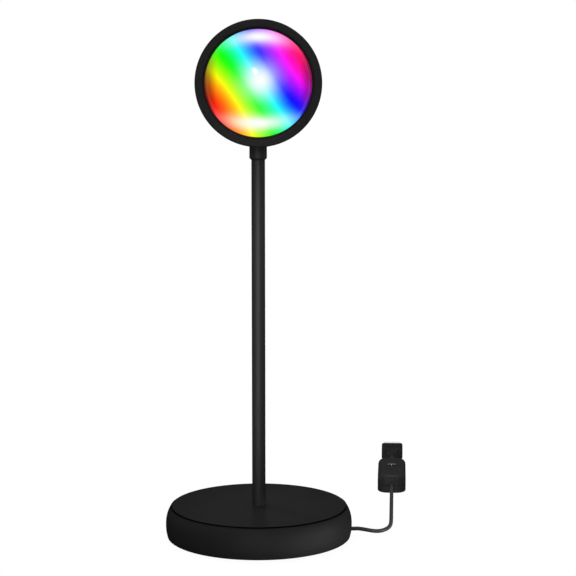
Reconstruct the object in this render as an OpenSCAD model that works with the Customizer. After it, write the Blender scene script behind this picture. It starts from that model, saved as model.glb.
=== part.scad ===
// Sunset projection lamp: a round weighted base, a thin pole, a drum-shaped head that pans and tilts,
// and a short lead with an in-line push switch and a flat plug.
// Millimetres. Origin at the centre of the underside of the base, +Z up, the lens faces -Y.

/* [Base] */
// Widest diameter of the base's barrel side
base_d = 111.6; // [100:0.2:124]
// Height above the table at which the barrel side is widest
base_wide_z = 8; // [6:0.1:10]
// How far the barrel side stands out past the flat top face
base_bulge = 3.6; // [2.6:0.1:5]
// Height of the top face above the table
base_h = 19.5; // [17:0.1:24]
// Wall of the base shell
base_wall = 2.4; // [1.8:0.1:3]
// Height of the shell's lower edge above the table
base_lift = 0.6; // [0.4:0.1:0.9]
// Radius that rounds the shell's lower edge
base_edge_r = 0.8; // [0.6:0.1:1.6]
// How far the foot pad's edge lies inside the top face's edge
pad_margin = 5.2; // [3.6:0.1:10]
// Thickness of the foot pad
pad_t = 1; // [0.7:0.1:1.4]
// Thickness of the bottom plate
plate_t = 1; // [0.8:0.1:1.2]
// How far the cast weight's edge lies inside the top face's edge
weight_margin = 6.2; // [4.5:0.1:12]
// Thickness of the cast weight
weight_t = 11; // [8:0.1:11.4]
// Radius of the circle of the weight's three feet
weight_foot_ring = 36; // [30:1:38]
// Radius of each foot of the weight
weight_foot_r = 4.5; // [4:0.1:5.5]
// Length of the bottom plate's screws
base_screw_l = 7; // [5:0.5:9]

/* [Pole] */
// Outer diameter of the pole
pole_d = 8; // [7.4:0.1:8.6]
// Wall of the pole
pole_wall = 0.9; // [0.7:0.05:1]
// Length of the pole above the base
pole_l = 209.4; // [150:0.1:320]
// Bore of the hollow stud that fixes the pole
stud_bore = 4; // [3.4:0.1:4.2]
// Length of the stud inside the pole
stud_grip = 20; // [12:1:30]
// Thickness of the nut under the weight
nut_t = 2.4; // [2:0.1:3]
// Width of the nut across its flats
nut_af = 10; // [9:0.5:11]
// Outer diameter of the collar on top of the pole
collar_d = 10.3; // [10:0.1:10.8]
// Height of the collar
collar_h = 8.3; // [8:0.1:9]
// Length of pole inside the collar
collar_grip = 2.8; // [2.4:0.1:3]
// Chamfer of the collar's lower edge
collar_chamfer = 1; // [0.4:0.1:1.1]

/* [Neck] */
// Diameter of the neck's stem
stem_d = 7; // [6:0.1:7.2]
// Height of the tilt axis above the collar
pivot_rise = 20.3; // [20:0.1:22]
// Radius of the round end of the tongue
tongue_r = 4.6; // [4:0.1:5]
// Thickness of the tongue
tongue_t = 6.4; // [5.4:0.1:6.4]
// Diameter of the spigot that turns in the collar
spigot_d = 4.8; // [4.6:0.1:5.2]
// Bore for the wire up the neck
wire_bore = 2.6; // [2:0.1:2.8]
// Diameter of the tilt screw
pivot_d = 3; // [2.5:0.1:3.4]
// Furthest tilt of the lens below the horizontal, in degrees
tilt_down = 15; // [5:1:15]

/* [Head] */
// Outer diameter of the head's drum
head_d = 68.8; // [64:0.2:78]
// Wall of the drum
head_wall = 2; // [1.6:0.1:2.2]
// Distance from the tilt axis back to the drum's rear face
head_rear = 17; // [16.6:0.1:17.2]
// Distance from the tilt axis forward to the drum's rim
head_rim = 29.6; // [27:0.1:34]
// Radius that rounds the drum's rear edge
head_rear_r = 14; // [13:0.5:18]
// Height of the tilt axis above the drum's underside
pivot_inset = 17.5; // [16.6:0.1:17.5]
// Thickness of each ear that carries the tilt screw
ear_t = 3; // [2.4:0.1:3.6]
// Thickness of the front ring's skirt round the drum, with its clearance
ring_t = 1.65; // [1.3:0.05:2.4]
// How far the front ring's lip laps in over the drum's edge
ring_lap = 4.2; // [3.4:0.1:7]
// Length of the front ring
ring_l = 9.6; // [8:0.2:14]
// Depth of the bevel round the opening, which is the ring's lip thickness
ring_lip = 1.8; // [1.2:0.1:2.4]
// Height of the lens's dome
lens_dome = 7; // [4:0.2:10]
// Thickness of the lens's rim
lens_rim = 1.4; // [1:0.1:2]
// Thickness of the gasket under the lens's rim
gasket_t = 0.8; // [0.6:0.1:1.2]
// Thickness of the colour filter
filter_t = 1; // [0.8:0.1:1.5]
// Length of the tube between the filter and the heat sink
tube_l = 14.6; // [12:0.2:17]
// Thickness of the heat sink's plate
sink_t = 2.5; // [2:0.1:3.5]
// Length of the heat sink's fins
fin_l = 9.5; // [5:0.5:11]
// Number of fins
fin_count = 9; // [5:1:11]
// Diameter of the LED's round board
led_board_d = 20; // [16:0.5:20]
// Diameter of the condenser lens
condenser_d = 25; // [24:0.5:30]
// Length of the condenser's skirt
condenser_skirt = 4; // [3.4:0.1:5]
// Distance of the heat sink's three screws from its edge
sink_screw_inset = 5.7; // [5.2:0.1:7]
// Width of the driver board
driver_w = 38; // [36:1:42]
// Height of the driver board
driver_h = 24; // [20:1:26]

/* [Switch] */
// Length of the in-line switch
switch_l = 54; // [50:0.5:60]
// Width of the switch
switch_w = 18.4; // [17.6:0.2:22]
// Height of the switch
switch_h = 12; // [12:0.1:14]
// Corner radius of the switch, seen from above
switch_corner = 6.3; // [5:0.1:7.6]
// Radius that rounds the switch's upper edge
switch_edge = 3.6; // [2:0.1:4]
// Wall of the switch's case
switch_wall = 1.6; // [1.4:0.1:1.8]
// Diameter of the push button
button_d = 6; // [5:0.1:6.4]
// Height of the button above the rim round it
button_proud = 0.7; // [0.4:0.1:1.2]
// Outer diameter of the raised rim round the button
rim_d = 10.2; // [9.6:0.1:12]
// Height of the rim round the button
rim_h = 0.5; // [0.3:0.1:0.8]
// Travel of the button
button_travel = 1.5; // [1:0.1:1.6]

/* [Plug] */
// Width of the moulded grip
grip_w = 14.7; // [14:0.1:16]
// Thickness of the moulded grip, which lies flat
grip_t = 8; // [7.6:0.1:9]
// Length of the wide part of the grip
grip_l = 17.4; // [15:0.2:22]
// Length of the grip's slanted shoulder
shoulder_l = 2.4; // [1.5:0.1:4]
// Width of the grip's neck
grip_neck_w = 8.2; // [7:0.1:9.4]
// Length of the grip's neck
grip_neck_l = 4.5; // [3:0.1:7]
// Length of the tapered sleeve behind the grip
sleeve_l = 5.1; // [4:0.1:9]
// Width of the metal shell
shell_w = 12; // [11.6:0.1:12.4]
// Thickness of the metal shell
shell_h = 4.5; // [4.3:0.1:4.8]
// Length of the metal shell outside the grip
shell_l = 11.7; // [10:0.1:13]
// Sheet thickness of the metal shell
shell_wall = 0.3; // [0.25:0.05:0.4]

/* [Lead] */
// Diameter of the lead
cord_d = 2.4; // [2:0.1:2.5]

/* [Hidden] */
$fn = 64;

// Clearances: a running or sliding fit, a seat between still pieces, and a gap round what swings
fit = 0.05;
seat = 0.1;
gap = 0.3;
// A cut reaches past the face that it opens by this much
past = 1;

// Base levels, from the table up
base_r = base_d / 2;
base_top_r = base_r - base_bulge;
pad_r = base_top_r - pad_margin;
weight_r = base_top_r - weight_margin;
side_rise = base_h - base_wide_z;
side_r = (side_rise * side_rise + base_bulge * base_bulge) / (2 * base_bulge);
side_c = base_r - side_r;
side_high_a = asin(side_rise / side_r);
side_low_a = -asin((base_wide_z - base_lift) / side_r);
plate_z = pad_t;
plate_top = plate_z + plate_t;
weight_top = base_h - base_wall;
weight_z = weight_top - weight_t;
stud_web = 2.8;
nut_r = 9;
stud_d = pole_d - 2 * pole_wall - 2 * fit;
washer_t = 0.8;
nut_top = weight_top - stud_web - washer_t;
stud_z = nut_top - nut_t - 0.4;
cord_z = 4.2;
grommet_inset = 0.4;
cord_exit = base_r - grommet_inset;
weight_feet = [60, 180, 300];
base_screw_d = 3;
base_screw_head_d = 5.6;
clamp_back = 15.4;
clamp_x = cord_exit - clamp_back;
clamp_size = [8, 13];
clamp_hole = 4.2;
clamp_screw_d = 2;
clamp_bite = 4;

// Pole and neck levels
pole_top = base_h + pole_l;
collar_z = pole_top - collar_grip;
collar_top = collar_z + collar_h;
socket_depth = 2;
web_t = 1.5;
web_z = collar_top - socket_depth - web_t;
clip_t = 0.5;
shim_t = 0.4;
spigot_z = web_z - shim_t - clip_t - 0.8;
pivot_z = collar_top + pivot_rise;
pivot_drop = head_d / 2 - pivot_inset;
head_z = pivot_z + pivot_drop;

// Head: distances forward of the tilt axis
head_r = head_d / 2;
bore_r = head_r - head_wall;
slot_w = stem_d + 2 * gap;
slot_front = pivot_inset * tan(tilt_down) + gap / 2;
ear_x = slot_w / 2;
ear_top = 5;
lens_back = head_rim + gasket_t;
lens_front = lens_back + lens_rim;
ring_front = lens_front + ring_lip;
inner_r = bore_r - gap;
ring_r = head_r + ring_t;
ring_bore_r = head_r - ring_lap;
sink_screw_ring = inner_r - sink_screw_inset;
filter_front = lens_back - gap;
filter_back = filter_front - filter_t;
sink_front = filter_back - tube_l;
sink_back = sink_front - sink_t;
sink_screw_angles = [90, 210, 330];
sink_screw_d = 3;
sink_screw_head = [5.6, 1.7];
sink_screw_bite = 6;
post_r = 2.6;
driver_t = 1.6;
driver_back = -5.6;
driver_mid = 7;
driver_post_x = 16;
driver_screw_d = 2;
driver_screw_head = [3.8, 1.3];
driver_screw_bite = 5;

// The run of the lead over the table: it leaves to the right, bends back and splays a little
run_start = [87.6, 102];
run_slope = 0.08;
run_angle = atan(run_slope);
switch_axis = 5;
plug_y = 187;
plug_axis = 4;
lower_route = [
    [55.4, 0, 4.2], [57.4, 0, 4.2], [59.6, 0, 4.2], [63.8, 0.4, 3.5], [68, 1.6, 2.4], [71.6, 3.6, 1.6],
    [74.8, 6.4, 1.25], [77.4, 10, 1.2], [79.2, 14, 1.2], [80.4, 18.5, 1.2], [81.2, 24, 1.2],
    [82, 32, 1.2], [82.8, 42, 1.2], [83.6, 52, 1.2], [84.4, 62, 1.2], [85.2, 72, 1.2],
    [86, 82, 1.3], [86.4, 87, 2], [86.8, 92, 3.4], [87.2, 97, 4.7], [87.4, 99.5, 5], [87.7, 103.25, 5]
];
upper_route = [
    [91.8, 154.5, 5], [92, 157, 5], [92.24, 160, 4.5], [92.48, 163, 3.3], [92.72, 166, 2],
    [93.04, 170, 1.25], [93.36, 174, 1.6], [93.68, 178, 2.8], [93.92, 181, 3.75],
    [94.08, 183, 4], [94.24, 185, 4], [94.4, 187, 4]
];
inner_route = [
    [55.4, 0, 4.2], [48, 0, 4.2], [36, 0, 4.2], [24, 0, 4.2], [12, 0, 4.2], [7, 0, 4.2], [4, 0, 4.7],
    [1.8, 0, 6.3], [0.6, 0, 8.6], [0, 0, 12], [0, 0, 16], [0, 0, 60], [0, 0, 140], [0, 0, 226]
];

// Points of an arc, centre [x, y], from angle a to angle b
function arc(x, y, r, a, b, n) =
    [for (i = [0:n]) [x + r * cos(a + (b - a) * i / n), y + r * sin(a + (b - a) * i / n)]];

// Outline of a rectangle with round corners, centred
function round_rect(l, w, r, n = 8) = concat(
    arc(l / 2 - r, w / 2 - r, r, 0, 90, n), arc(r - l / 2, w / 2 - r, r, 90, 180, n),
    arc(r - l / 2, r - w / 2, r, 180, 270, n), arc(l / 2 - r, r - w / 2, r, 270, 360, n));

// A smooth curve through the points of a route, each step cut in n
function route_at(p, i) = p[max(0, min(len(p) - 1, i))];
function between(a, b, c, d, t) = 0.5 * (2 * b + (c - a) * t + (2 * a - 5 * b + 4 * c - d) * t * t
    + (3 * b - a - 3 * c + d) * t * t * t);
function smooth(p, n) = concat(
    [for (i = [0:len(p) - 2], k = [0:n - 1])
        between(route_at(p, i - 1), p[i], p[i + 1], route_at(p, i + 2), k / n)],
    [p[len(p) - 1]]);
function unit(v) = v / norm(v);

// A tube of radius r swept along points, as one closed skin of triangles
module swept_tube(pts, r, side, sides = 8) {
    n = len(pts);
    rings = [for (i = [0:n - 1])
        let (t = unit(route_at(pts, i + 1) - route_at(pts, i - 1)))
        let (u = unit(cross(t, side)))
        let (v = cross(t, u))
        for (k = [0:sides - 1])
            let (a = 360 * (k + 0.5) / sides)
            pts[i] + r * (cos(a) * u + sin(a) * v)];
    skin = [for (i = [0:n - 2], k = [0:sides - 1])
        let (a = i * sides + k)
        let (b = i * sides + (k + 1) % sides)
        each [[a, b, b + sides], [a, b + sides, a + sides]]];
    start = [for (k = [1:sides - 2]) [0, k + 1, k]];
    last = (n - 1) * sides;
    end = [for (k = [1:sides - 2]) [last, last + k, last + k + 1]];
    polyhedron(points = rings, faces = concat(skin, start, end), convexity = 6);
}

// A solid turned about the head's axis: profile points are [radius, distance forward]
module turned(profile) {
    translate([0, 0, head_z])
        rotate([90, 0, 0])
            rotate_extrude()
                polygon(profile);
}

// A cylinder along the head's axis, at [x, z] from its centre, between two distances forward
module along_head(at, r, from, to) {
    translate([at[0], -from, head_z + at[1]])
        rotate([90, 0, 0])
            cylinder(r = r, h = to - from);
}

// A cylinder along X, centred on the tilt axis
module across_head(r, from, to) {
    translate([from, 0, pivot_z])
        rotate([0, 90, 0])
            cylinder(r = r, h = to - from);
}

// Places a piece of the switch or plug on the lead's run, its own +Y away from the lamp
module on_run(y) {
    translate([run_start[0] + run_slope * (y - run_start[1]), y, 0])
        rotate([0, 0, -run_angle])
            children();
}

// A block lying on z = 0 with round corners, and rounded edges at its top and its bottom
module soft_block(l, w, h, corner, top_r, bottom_r, n = 5) {
    hull()
        for (i = [0:n]) {
            a = 90 * i / n;
            for (edge = [[top_r, h - top_r + top_r * sin(a)], [bottom_r, bottom_r - bottom_r * sin(a)]]) {
                in = edge[0] * (1 - cos(a));
                translate([0, 0, max(0, edge[1] - 0.01)])
                    linear_extrude(0.01)
                        polygon(round_rect(w - 2 * in, l - 2 * in, corner - in * 0.7));
            }
        }
}

// ---- Base ----

function base_side(inset, n) = arc(side_c, base_wide_z, side_r - inset, side_low_a, side_high_a, n);

module base_shell() {
    inner = [for (p = base_side(base_wall, 12))
        if (p[1] > base_lift + base_edge_r && p[1] < weight_top - 0.2) p];
    outer = [for (p = base_side(0, 16)) if (p[1] > base_lift + base_edge_r) p];
    first = outer[0][0];
    foot_r = first - base_edge_r;
    profile = concat(
        [[stud_d / 2 + seat, base_h], [stud_d / 2 + seat, weight_top], [inner[len(inner) - 1][0], weight_top]],
        [for (i = [len(inner) - 1:-1:0]) inner[i]],
        [[inner[0][0], base_lift]],
        arc(foot_r, base_lift + base_edge_r, base_edge_r, -90, -10, 5),
        outer);
    color("#1c1c1e")
        difference() {
            rotate_extrude($fn = 128)
                polygon(profile);
            translate([base_r - 3 * base_wall, 0, cord_z])
                rotate([0, 90, 0])
                    cylinder(d = cord_d + 2 * grommet_wall + 2 * fit, h = 4 * base_wall);
        }
}

module base_weight() {
    color("#4a4a4c")
        difference() {
            union() {
                translate([0, 0, weight_z])
                    cylinder(r = weight_r, h = weight_t);
                for (a = weight_feet)
                    rotate(a)
                        translate([weight_foot_ring, 0, plate_top])
                            cylinder(r = weight_foot_r, h = weight_z - plate_top + past);
            }
            translate([0, 0, weight_z - past])
                cylinder(r = nut_r, h = nut_top + washer_t - weight_z + past);
            translate([0, 0, weight_z - past])
                cylinder(d = stud_d + 2 * seat, h = weight_t + 2 * past);
            for (a = weight_feet)
                rotate(a)
                    translate([weight_foot_ring, 0, plate_top - past])
                        cylinder(d = base_screw_d + 2 * fit, h = base_screw_l + past);
            for (side = [-1, 1])
                translate([clamp_x, side * clamp_hole, weight_z - past])
                    cylinder(d = clamp_screw_d + 2 * fit, h = clamp_bite + past, $fn = 24);
        }
}

plate_gap = 0.6;
plate_r = side_c + (side_r - base_wall) * cos(side_low_a) - plate_gap;

module base_plate() {
    color("#8a8c90")
        difference() {
            translate([0, 0, plate_z])
                cylinder(r = plate_r, h = plate_t);
            for (a = weight_feet)
                rotate(a)
                    translate([weight_foot_ring, 0, plate_z - past])
                        cylinder(d = base_screw_d + 2 * seat, h = plate_t + 2 * past);
        }
}

module foot_pad() {
    color("#26262a")
        difference() {
            cylinder(r = pad_r, h = pad_t);
            for (a = weight_feet)
                rotate(a)
                    translate([weight_foot_ring, 0, -past])
                        cylinder(d = base_screw_head_d + 4 * seat, h = pad_t + 2 * past);
        }
}

// A screw along Z, its head's underside at z = 0 and its shank upwards, with a driver socket
module screw_up(d, l, head_d, head_h) {
    difference() {
        union() {
            translate([0, 0, -head_h])
                cylinder(d = head_d, h = head_h);
            cylinder(d = d, h = l);
        }
        translate([0, 0, -head_h - past])
            cylinder(d = head_d * 0.45, h = past + head_h * 0.6, $fn = 6);
    }
}

module base_screws() {
    color("#b8babd")
        for (a = weight_feet)
            rotate(a)
                translate([weight_foot_ring, 0, plate_z])
                    screw_up(base_screw_d, base_screw_l, base_screw_head_d, pad_t * 0.8);
}

module pole_stud() {
    color("#c9a94f")
        difference() {
            translate([0, 0, stud_z])
                cylinder(d = stud_d, h = base_h + stud_grip - stud_z);
            translate([0, 0, stud_z - past])
                cylinder(d = stud_bore, h = base_h + stud_grip - stud_z + 2 * past);
        }
}

module pole_nut() {
    color("#b8babd")
        difference() {
            translate([0, 0, nut_top - nut_t])
                cylinder(d = nut_af / cos(30), h = nut_t, $fn = 6);
            translate([0, 0, nut_top - nut_t - past])
                cylinder(d = stud_d + 2 * fit, h = nut_t + 2 * past);
        }
}

module lock_washer() {
    color("#b8babd")
        difference() {
            translate([0, 0, nut_top])
                cylinder(d = nut_af + 2, h = washer_t);
            translate([0, 0, nut_top - past])
                cylinder(d = stud_d + 2 * seat, h = washer_t + 2 * past);
            translate([0, -0.4, nut_top - past])
                cube([nut_af, 0.8, washer_t + 2 * past]);
        }
}

grommet_wall = 0.7;
grommet_in = 4.2;

module cord_grommet() {
    color("#141416")
        translate([0, 0, cord_z])
            rotate([0, 90, 0])
                difference() {
                    union() {
                        translate([0, 0, cord_exit - grommet_in])
                            cylinder(d = cord_d + 2 * grommet_wall, h = grommet_in);
                        translate([0, 0, cord_exit - grommet_in - 1])
                            cylinder(d = cord_d + 2 * grommet_wall + 0.3, h = 1);
                    }
                    translate([0, 0, cord_exit - grommet_in - 2])
                        cylinder(d = cord_d + 2 * fit, h = grommet_in + 3);
                }
}

// Underside of the saddle, with its web under the lead
clamp_floor = cord_z - cord_d / 2 - 0.5;

module cord_clamp() {
    color("#2b2b2e")
        difference() {
            translate([clamp_x - clamp_size[0] / 2, -clamp_size[1] / 2, clamp_floor])
                cube([clamp_size[0], clamp_size[1], weight_z - clamp_floor]);
            translate([clamp_x - clamp_size[0], 0, cord_z])
                rotate([0, 90, 0])
                    cylinder(d = cord_d + 2 * fit, h = 2 * clamp_size[0]);
            for (side = [-1, 1])
                translate([clamp_x, side * clamp_hole, 0])
                    cylinder(d = clamp_screw_d + 2 * seat, h = weight_z + past, $fn = 24);
        }
}

module clamp_screws() {
    color("#b8babd")
        for (side = [-1, 1])
            translate([clamp_x, side * clamp_hole, clamp_floor])
                screw_up(clamp_screw_d, weight_z - clamp_floor + clamp_bite, 3.6, 0.4);
}

// ---- Pole, collar and the lead inside them ----

module pole_tube() {
    color("#202022")
        difference() {
            translate([0, 0, base_h])
                cylinder(d = pole_d, h = pole_l);
            translate([0, 0, base_h - past])
                cylinder(d = pole_d - 2 * pole_wall, h = pole_l + 2 * past);
        }
}

module pole_collar() {
    r = collar_d / 2;
    bore = pole_d / 2 + fit;
    color("#202022")
        rotate_extrude()
            polygon([
                [bore, collar_z], [r - collar_chamfer, collar_z], [r, collar_z + collar_chamfer],
                [r, collar_top - 0.4], [r - 0.4, collar_top], [stem_d / 2 + fit, collar_top],
                [stem_d / 2 + fit, web_z + web_t], [spigot_d / 2 + fit, web_z + web_t],
                [spigot_d / 2 + fit, web_z], [bore, web_z]
            ]);
}

module inner_lead() {
    color("#3a3a3c")
        swept_tube(smooth(inner_route, 2), cord_d / 2, [0, 1, 0]);
}

module neck_stem() {
    groove_z = web_z - shim_t - clip_t - fit;
    color("#2a2a2c")
        difference() {
            union() {
                translate([0, 0, spigot_z])
                    cylinder(d = spigot_d, h = web_z + web_t + 2 * fit - spigot_z);
                translate([0, 0, web_z + web_t + fit])
                    cylinder(d = stem_d, h = pivot_z - tongue_r - web_z - web_t);
                intersection() {
                    translate([-tongue_t / 2, -tongue_r, pivot_z - tongue_r - 2])
                        cube([tongue_t, 2 * tongue_r, 2 * tongue_r + 4]);
                    union() {
                        across_head(tongue_r, -stem_d, stem_d);
                        translate([-stem_d, -stem_d / 2 + 0.4, pivot_z - tongue_r - 2])
                            cube([2 * stem_d, stem_d - 0.8, tongue_r + 2]);
                    }
                }
            }
            across_head(pivot_d / 2 + fit, -stem_d, stem_d);
            translate([0, 0, spigot_z - past])
                cylinder(d = wire_bore, h = pivot_z - tongue_r - 4 - spigot_z + past);
            translate([0, 0, pivot_z - tongue_r - 4 - wire_bore / 2])
                rotate([-90, 0, 0])
                    cylinder(d = wire_bore - 0.4, h = stem_d);
            difference() {
                translate([0, 0, groove_z])
                    cylinder(d = spigot_d + past, h = clip_t + 2 * fit);
                translate([0, 0, groove_z - past])
                    cylinder(d = spigot_d - 0.8, h = clip_t + 3 * past);
            }
        }
}

module swivel_washer() {
    color("#d8d4c8")
        translate([0, 0, web_z - shim_t + fit])
            difference() {
                cylinder(d = pole_d - 0.6, h = shim_t - 2 * fit);
                translate([0, 0, -past])
                    cylinder(d = spigot_d + 2 * seat, h = shim_t + 2 * past);
            }
}

module swivel_clip() {
    color("#b8babd")
        translate([0, 0, web_z - shim_t - clip_t])
            difference() {
                cylinder(d = pole_d - 0.6, h = clip_t);
                translate([0, 0, -past])
                    cylinder(d = spigot_d - 0.8 + 2 * fit, h = clip_t + 2 * past);
                translate([-spigot_d / 2 + 0.5, -pole_d, -past])
                    cube([spigot_d - 1, pole_d, clip_t + 2 * past]);
            }
}

// ---- Head ----

// The drum's outline, pushed in by inset, open at the front
function drum(inset, front) = concat(
    [[0, inset - head_rear]],
    arc(head_r - head_rear_r, head_rear_r - head_rear, head_rear_r - inset, -90, 0, 12),
    [[head_r - inset, front], [0, front]]);

// The slot for the neck: up the rear face to the tilt axis, and forward under the drum
module neck_slot() {
    half = slot_w / 2;
    translate([0, head_rear + past, pivot_z])
        rotate([90, 0, 0])
            linear_extrude(head_rear + past)
                polygon(concat([[-half, -head_r], [half, -head_r]], arc(0, 0, half, 0, 180, 12)));
    translate([0, 0, head_z - head_r - past])
        linear_extrude(head_r - pivot_drop + past)
            polygon(concat([[half, head_rear + past], [-half, head_rear + past]],
                arc(0, -slot_front, half, 180, 360, 12)));
}

module head_housing() {
    color("#1e1e20")
        difference() {
            union() {
                difference() {
                    turned(drum(0, head_rim));
                    turned(drum(head_wall, head_rim + past));
                }
                intersection() {
                    turned(drum(head_wall / 2, head_rim - past));
                    union() {
                        for (side = [-1, 1])
                            translate([side * (ear_x + ear_t / 2), 0, pivot_z]) {
                                translate([-ear_t / 2, -slot_front - 5, -head_r])
                                    cube([ear_t, slot_front + 5 + head_rear, head_r - 2]);
                                rotate([0, 90, 0])
                                    cylinder(r = ear_top, h = ear_t, center = true);
                            }
                        for (a = sink_screw_angles)
                            along_head(sink_screw_ring * [cos(a), sin(a)], post_r, -head_rear, sink_back);
                        for (side = [-1, 1])
                            along_head([side * driver_post_x, driver_mid], post_r, -head_rear, driver_back);
                    }
                }
            }
            neck_slot();
            across_head(pivot_d / 2 + fit, -ear_x - 2 * ear_t, ear_x + 2 * ear_t);
            for (a = sink_screw_angles)
                along_head(sink_screw_ring * [cos(a), sin(a)], sink_screw_d / 2 + fit,
                    sink_back - sink_screw_bite - 2, sink_back + past);
            for (side = [-1, 1])
                along_head([side * driver_post_x, driver_mid], driver_screw_d / 2 + fit,
                    driver_back - driver_screw_bite - 1, driver_back + past);
        }
}

module front_ring() {
    r = ring_r;
    seat_r = head_r + seat;
    color("#202022")
        turned([
            [ring_bore_r, lens_front], [ring_bore_r + ring_lip * 0.9, ring_front], [r - 0.9, ring_front],
            [r - 0.25, ring_front - 0.25], [r, ring_front - 0.9], [r, ring_front - ring_l + 0.5],
            [r - 0.5, ring_front - ring_l], [seat_r, ring_front - ring_l], [seat_r, lens_front]
        ]);
}

module dome_lens() {
    bore = ring_bore_r - seat;
    dome_r = (bore * bore + lens_dome * lens_dome) / (2 * lens_dome);
    dome_a = asin(bore / dome_r);
    color("#d8e4ff", 0.6)
        turned(concat(
            [[0, lens_back], [head_r - 0.3, lens_back], [head_r - 0.3, lens_front], [bore, lens_front]],
            [for (p = arc(0, lens_front + lens_dome - dome_r, dome_r, 90 - dome_a, 90, 16)) if (p[0] < bore - 0.1) p]));
}

module lens_gasket() {
    color("#505054")
        turned([[bore_r, head_rim], [head_r - 0.3, head_rim], [head_r - 0.3, lens_back], [bore_r, lens_back]]);
}

module colour_filter() {
    color("#c050e0", 0.6)
        turned([[0, filter_back], [inner_r, filter_back], [inner_r, filter_front], [0, filter_front]]);
}

module lens_tube() {
    lip = 1.2;
    color("#28282a")
        turned([
            [inner_r - lip, sink_front], [inner_r, sink_front], [inner_r, filter_back],
            [inner_r - 2 * lip, filter_back], [inner_r - 2 * lip, filter_back - lip], [inner_r - lip, filter_back - lip]
        ]);
}

module condenser_lens() {
    r = condenser_d / 2;
    wall = 1.4;
    flange = sink_front + condenser_skirt;
    top = flange + 1.4;
    dome_h = 5.4;
    dome_w = r - 1.6;
    dome_r = (dome_w * dome_w + dome_h * dome_h) / (2 * dome_h);
    dome_a = asin(dome_w / dome_r);
    color("#e8f0ff", 0.6)
        turned(concat(
            [[0, flange], [r - wall, flange], [r - wall, sink_front], [r, sink_front], [r, top], [dome_w, top]],
            [for (p = arc(0, top + dome_h - dome_r, dome_r, 90 - dome_a, 90, 12)) if (p[0] < dome_w - 0.1) p]));
}

// The light source: a round board with two wire holes, and a square chip under its phosphor dome
led_board_t = 1.6;
wire_hole_r = 1.1;
wire_hole_inset = 2.2;
chip_w = 7;
chip_t = 1;
phosphor_edge_r = 2.6;
phosphor_ball_r = 3.1;

module led_board() {
    color("#f0f0f0")
        difference() {
            along_head([0, 0], led_board_d / 2, sink_front, sink_front + led_board_t);
            for (a = [45, 225])
                along_head((led_board_d / 2 - wire_hole_inset) * [cos(a), sin(a)], wire_hole_r,
                    sink_front - past, sink_front + led_board_t + past);
        }
}

module led_chip() {
    back = sink_front + led_board_t;
    face = back + chip_t;
    ball = back - chip_t;
    color("#f2e27a") {
        translate([0, -back - chip_t / 2, head_z])
            cube([chip_w, chip_t, chip_w], center = true);
        turned(concat(
            [[0, face - 0.1], [phosphor_edge_r, face - 0.1], [phosphor_edge_r, face]],
            arc(0, ball, phosphor_ball_r, 50, 84, 4),
            [[0, ball + phosphor_ball_r]]));
    }
}

// The fins' spread across the sink, their thickness, their height and how far they reach below the axis
fin_spread = 44;
fin_t = 1.2;
fin_h = 29;
fin_drop = 9;

module heat_sink() {
    pitch = fin_spread / fin_count;
    color("#c4c6c9")
        difference() {
            union() {
                along_head([0, 0], inner_r, sink_back, sink_front);
                for (i = [0:fin_count - 1]) {
                    x = (i - (fin_count - 1) / 2) * pitch;
                    translate([x - fin_t / 2, -sink_back - past, head_z - fin_drop])
                        cube([fin_t, fin_l + past, fin_h]);
                }
            }
            for (a = sink_screw_angles)
                along_head(sink_screw_ring * [cos(a), sin(a)], sink_screw_d / 2 + seat,
                    sink_back - past, sink_front + past);
        }
}

// A screw along the head's axis, driven from the front, with its head's underside at the given distance
module screw_back(at, seat_at, d, l, head_d, head_h) {
    translate([at[0], -seat_at, head_z + at[1]])
        rotate([-90, 0, 0])
            screw_up(d, l, head_d, head_h);
}

module sink_screws() {
    color("#b8babd")
        for (a = sink_screw_angles)
            screw_back(sink_screw_ring * [cos(a), sin(a)], sink_front, sink_screw_d,
                sink_t + sink_screw_bite, sink_screw_head[0], sink_screw_head[1]);
}

module driver_board() {
    color("#1f5d3a")
        difference() {
            translate([-driver_w / 2, -driver_back - driver_t, head_z + driver_mid - driver_h / 2])
                cube([driver_w, driver_t, driver_h]);
            for (side = [-1, 1])
                along_head([side * driver_post_x, driver_mid], driver_screw_d / 2 + seat,
                    driver_back - past, driver_back + driver_t + past);
        }
}

// A capacitor, a coil and a driver chip on the back of the board
module driver_parts() {
    capacitor = [3.2, 7];
    coil = [4.2, 5];
    chip = [9, 1.6, 5];
    color("#303034") {
        along_head([-6, driver_mid + 4], capacitor[0], driver_back - capacitor[1], driver_back);
        along_head([6, driver_mid + 3], coil[0], driver_back - coil[1], driver_back);
        translate([-4, -driver_back, head_z + driver_mid - 8])
            cube(chip);
    }
}

module driver_screws() {
    color("#b8babd")
        for (side = [-1, 1])
            screw_back([side * driver_post_x, driver_mid], driver_back + driver_t, driver_screw_d,
                driver_t + driver_screw_bite, driver_screw_head[0], driver_screw_head[1]);
}

module pivot_screw() {
    reach = ear_x + ear_t;
    color("#b8babd")
        difference() {
            union() {
                across_head(pivot_d / 2, -reach - 3.2, reach);
                across_head(2.8, reach, reach + 1.9);
            }
            across_head(1.3, reach + 0.7, reach + 3, $fn = 6);
        }
}

module pivot_nut() {
    reach = ear_x + ear_t;
    color("#b8babd")
        translate([-reach - 2.4, 0, pivot_z])
            rotate([0, 90, 0])
                difference() {
                    cylinder(d = 5.5 / cos(30), h = 2.4, $fn = 6);
                    translate([0, 0, -past])
                        cylinder(d = pivot_d + 2 * fit, h = 2.4 + 2 * past);
                }
}

module pivot_washers() {
    t = ear_x - tongue_t / 2 - 2 * fit;
    color("#d8d4c8")
        for (side = [-1, 1])
            difference() {
                across_head(tongue_r - 0.4, side * (tongue_t / 2 + fit + t / 2) - t / 2,
                    side * (tongue_t / 2 + fit + t / 2) + t / 2);
                across_head(pivot_d / 2 + fit, -2 * ear_x, 2 * ear_x);
            }
}

// ---- In-line switch ----

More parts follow.
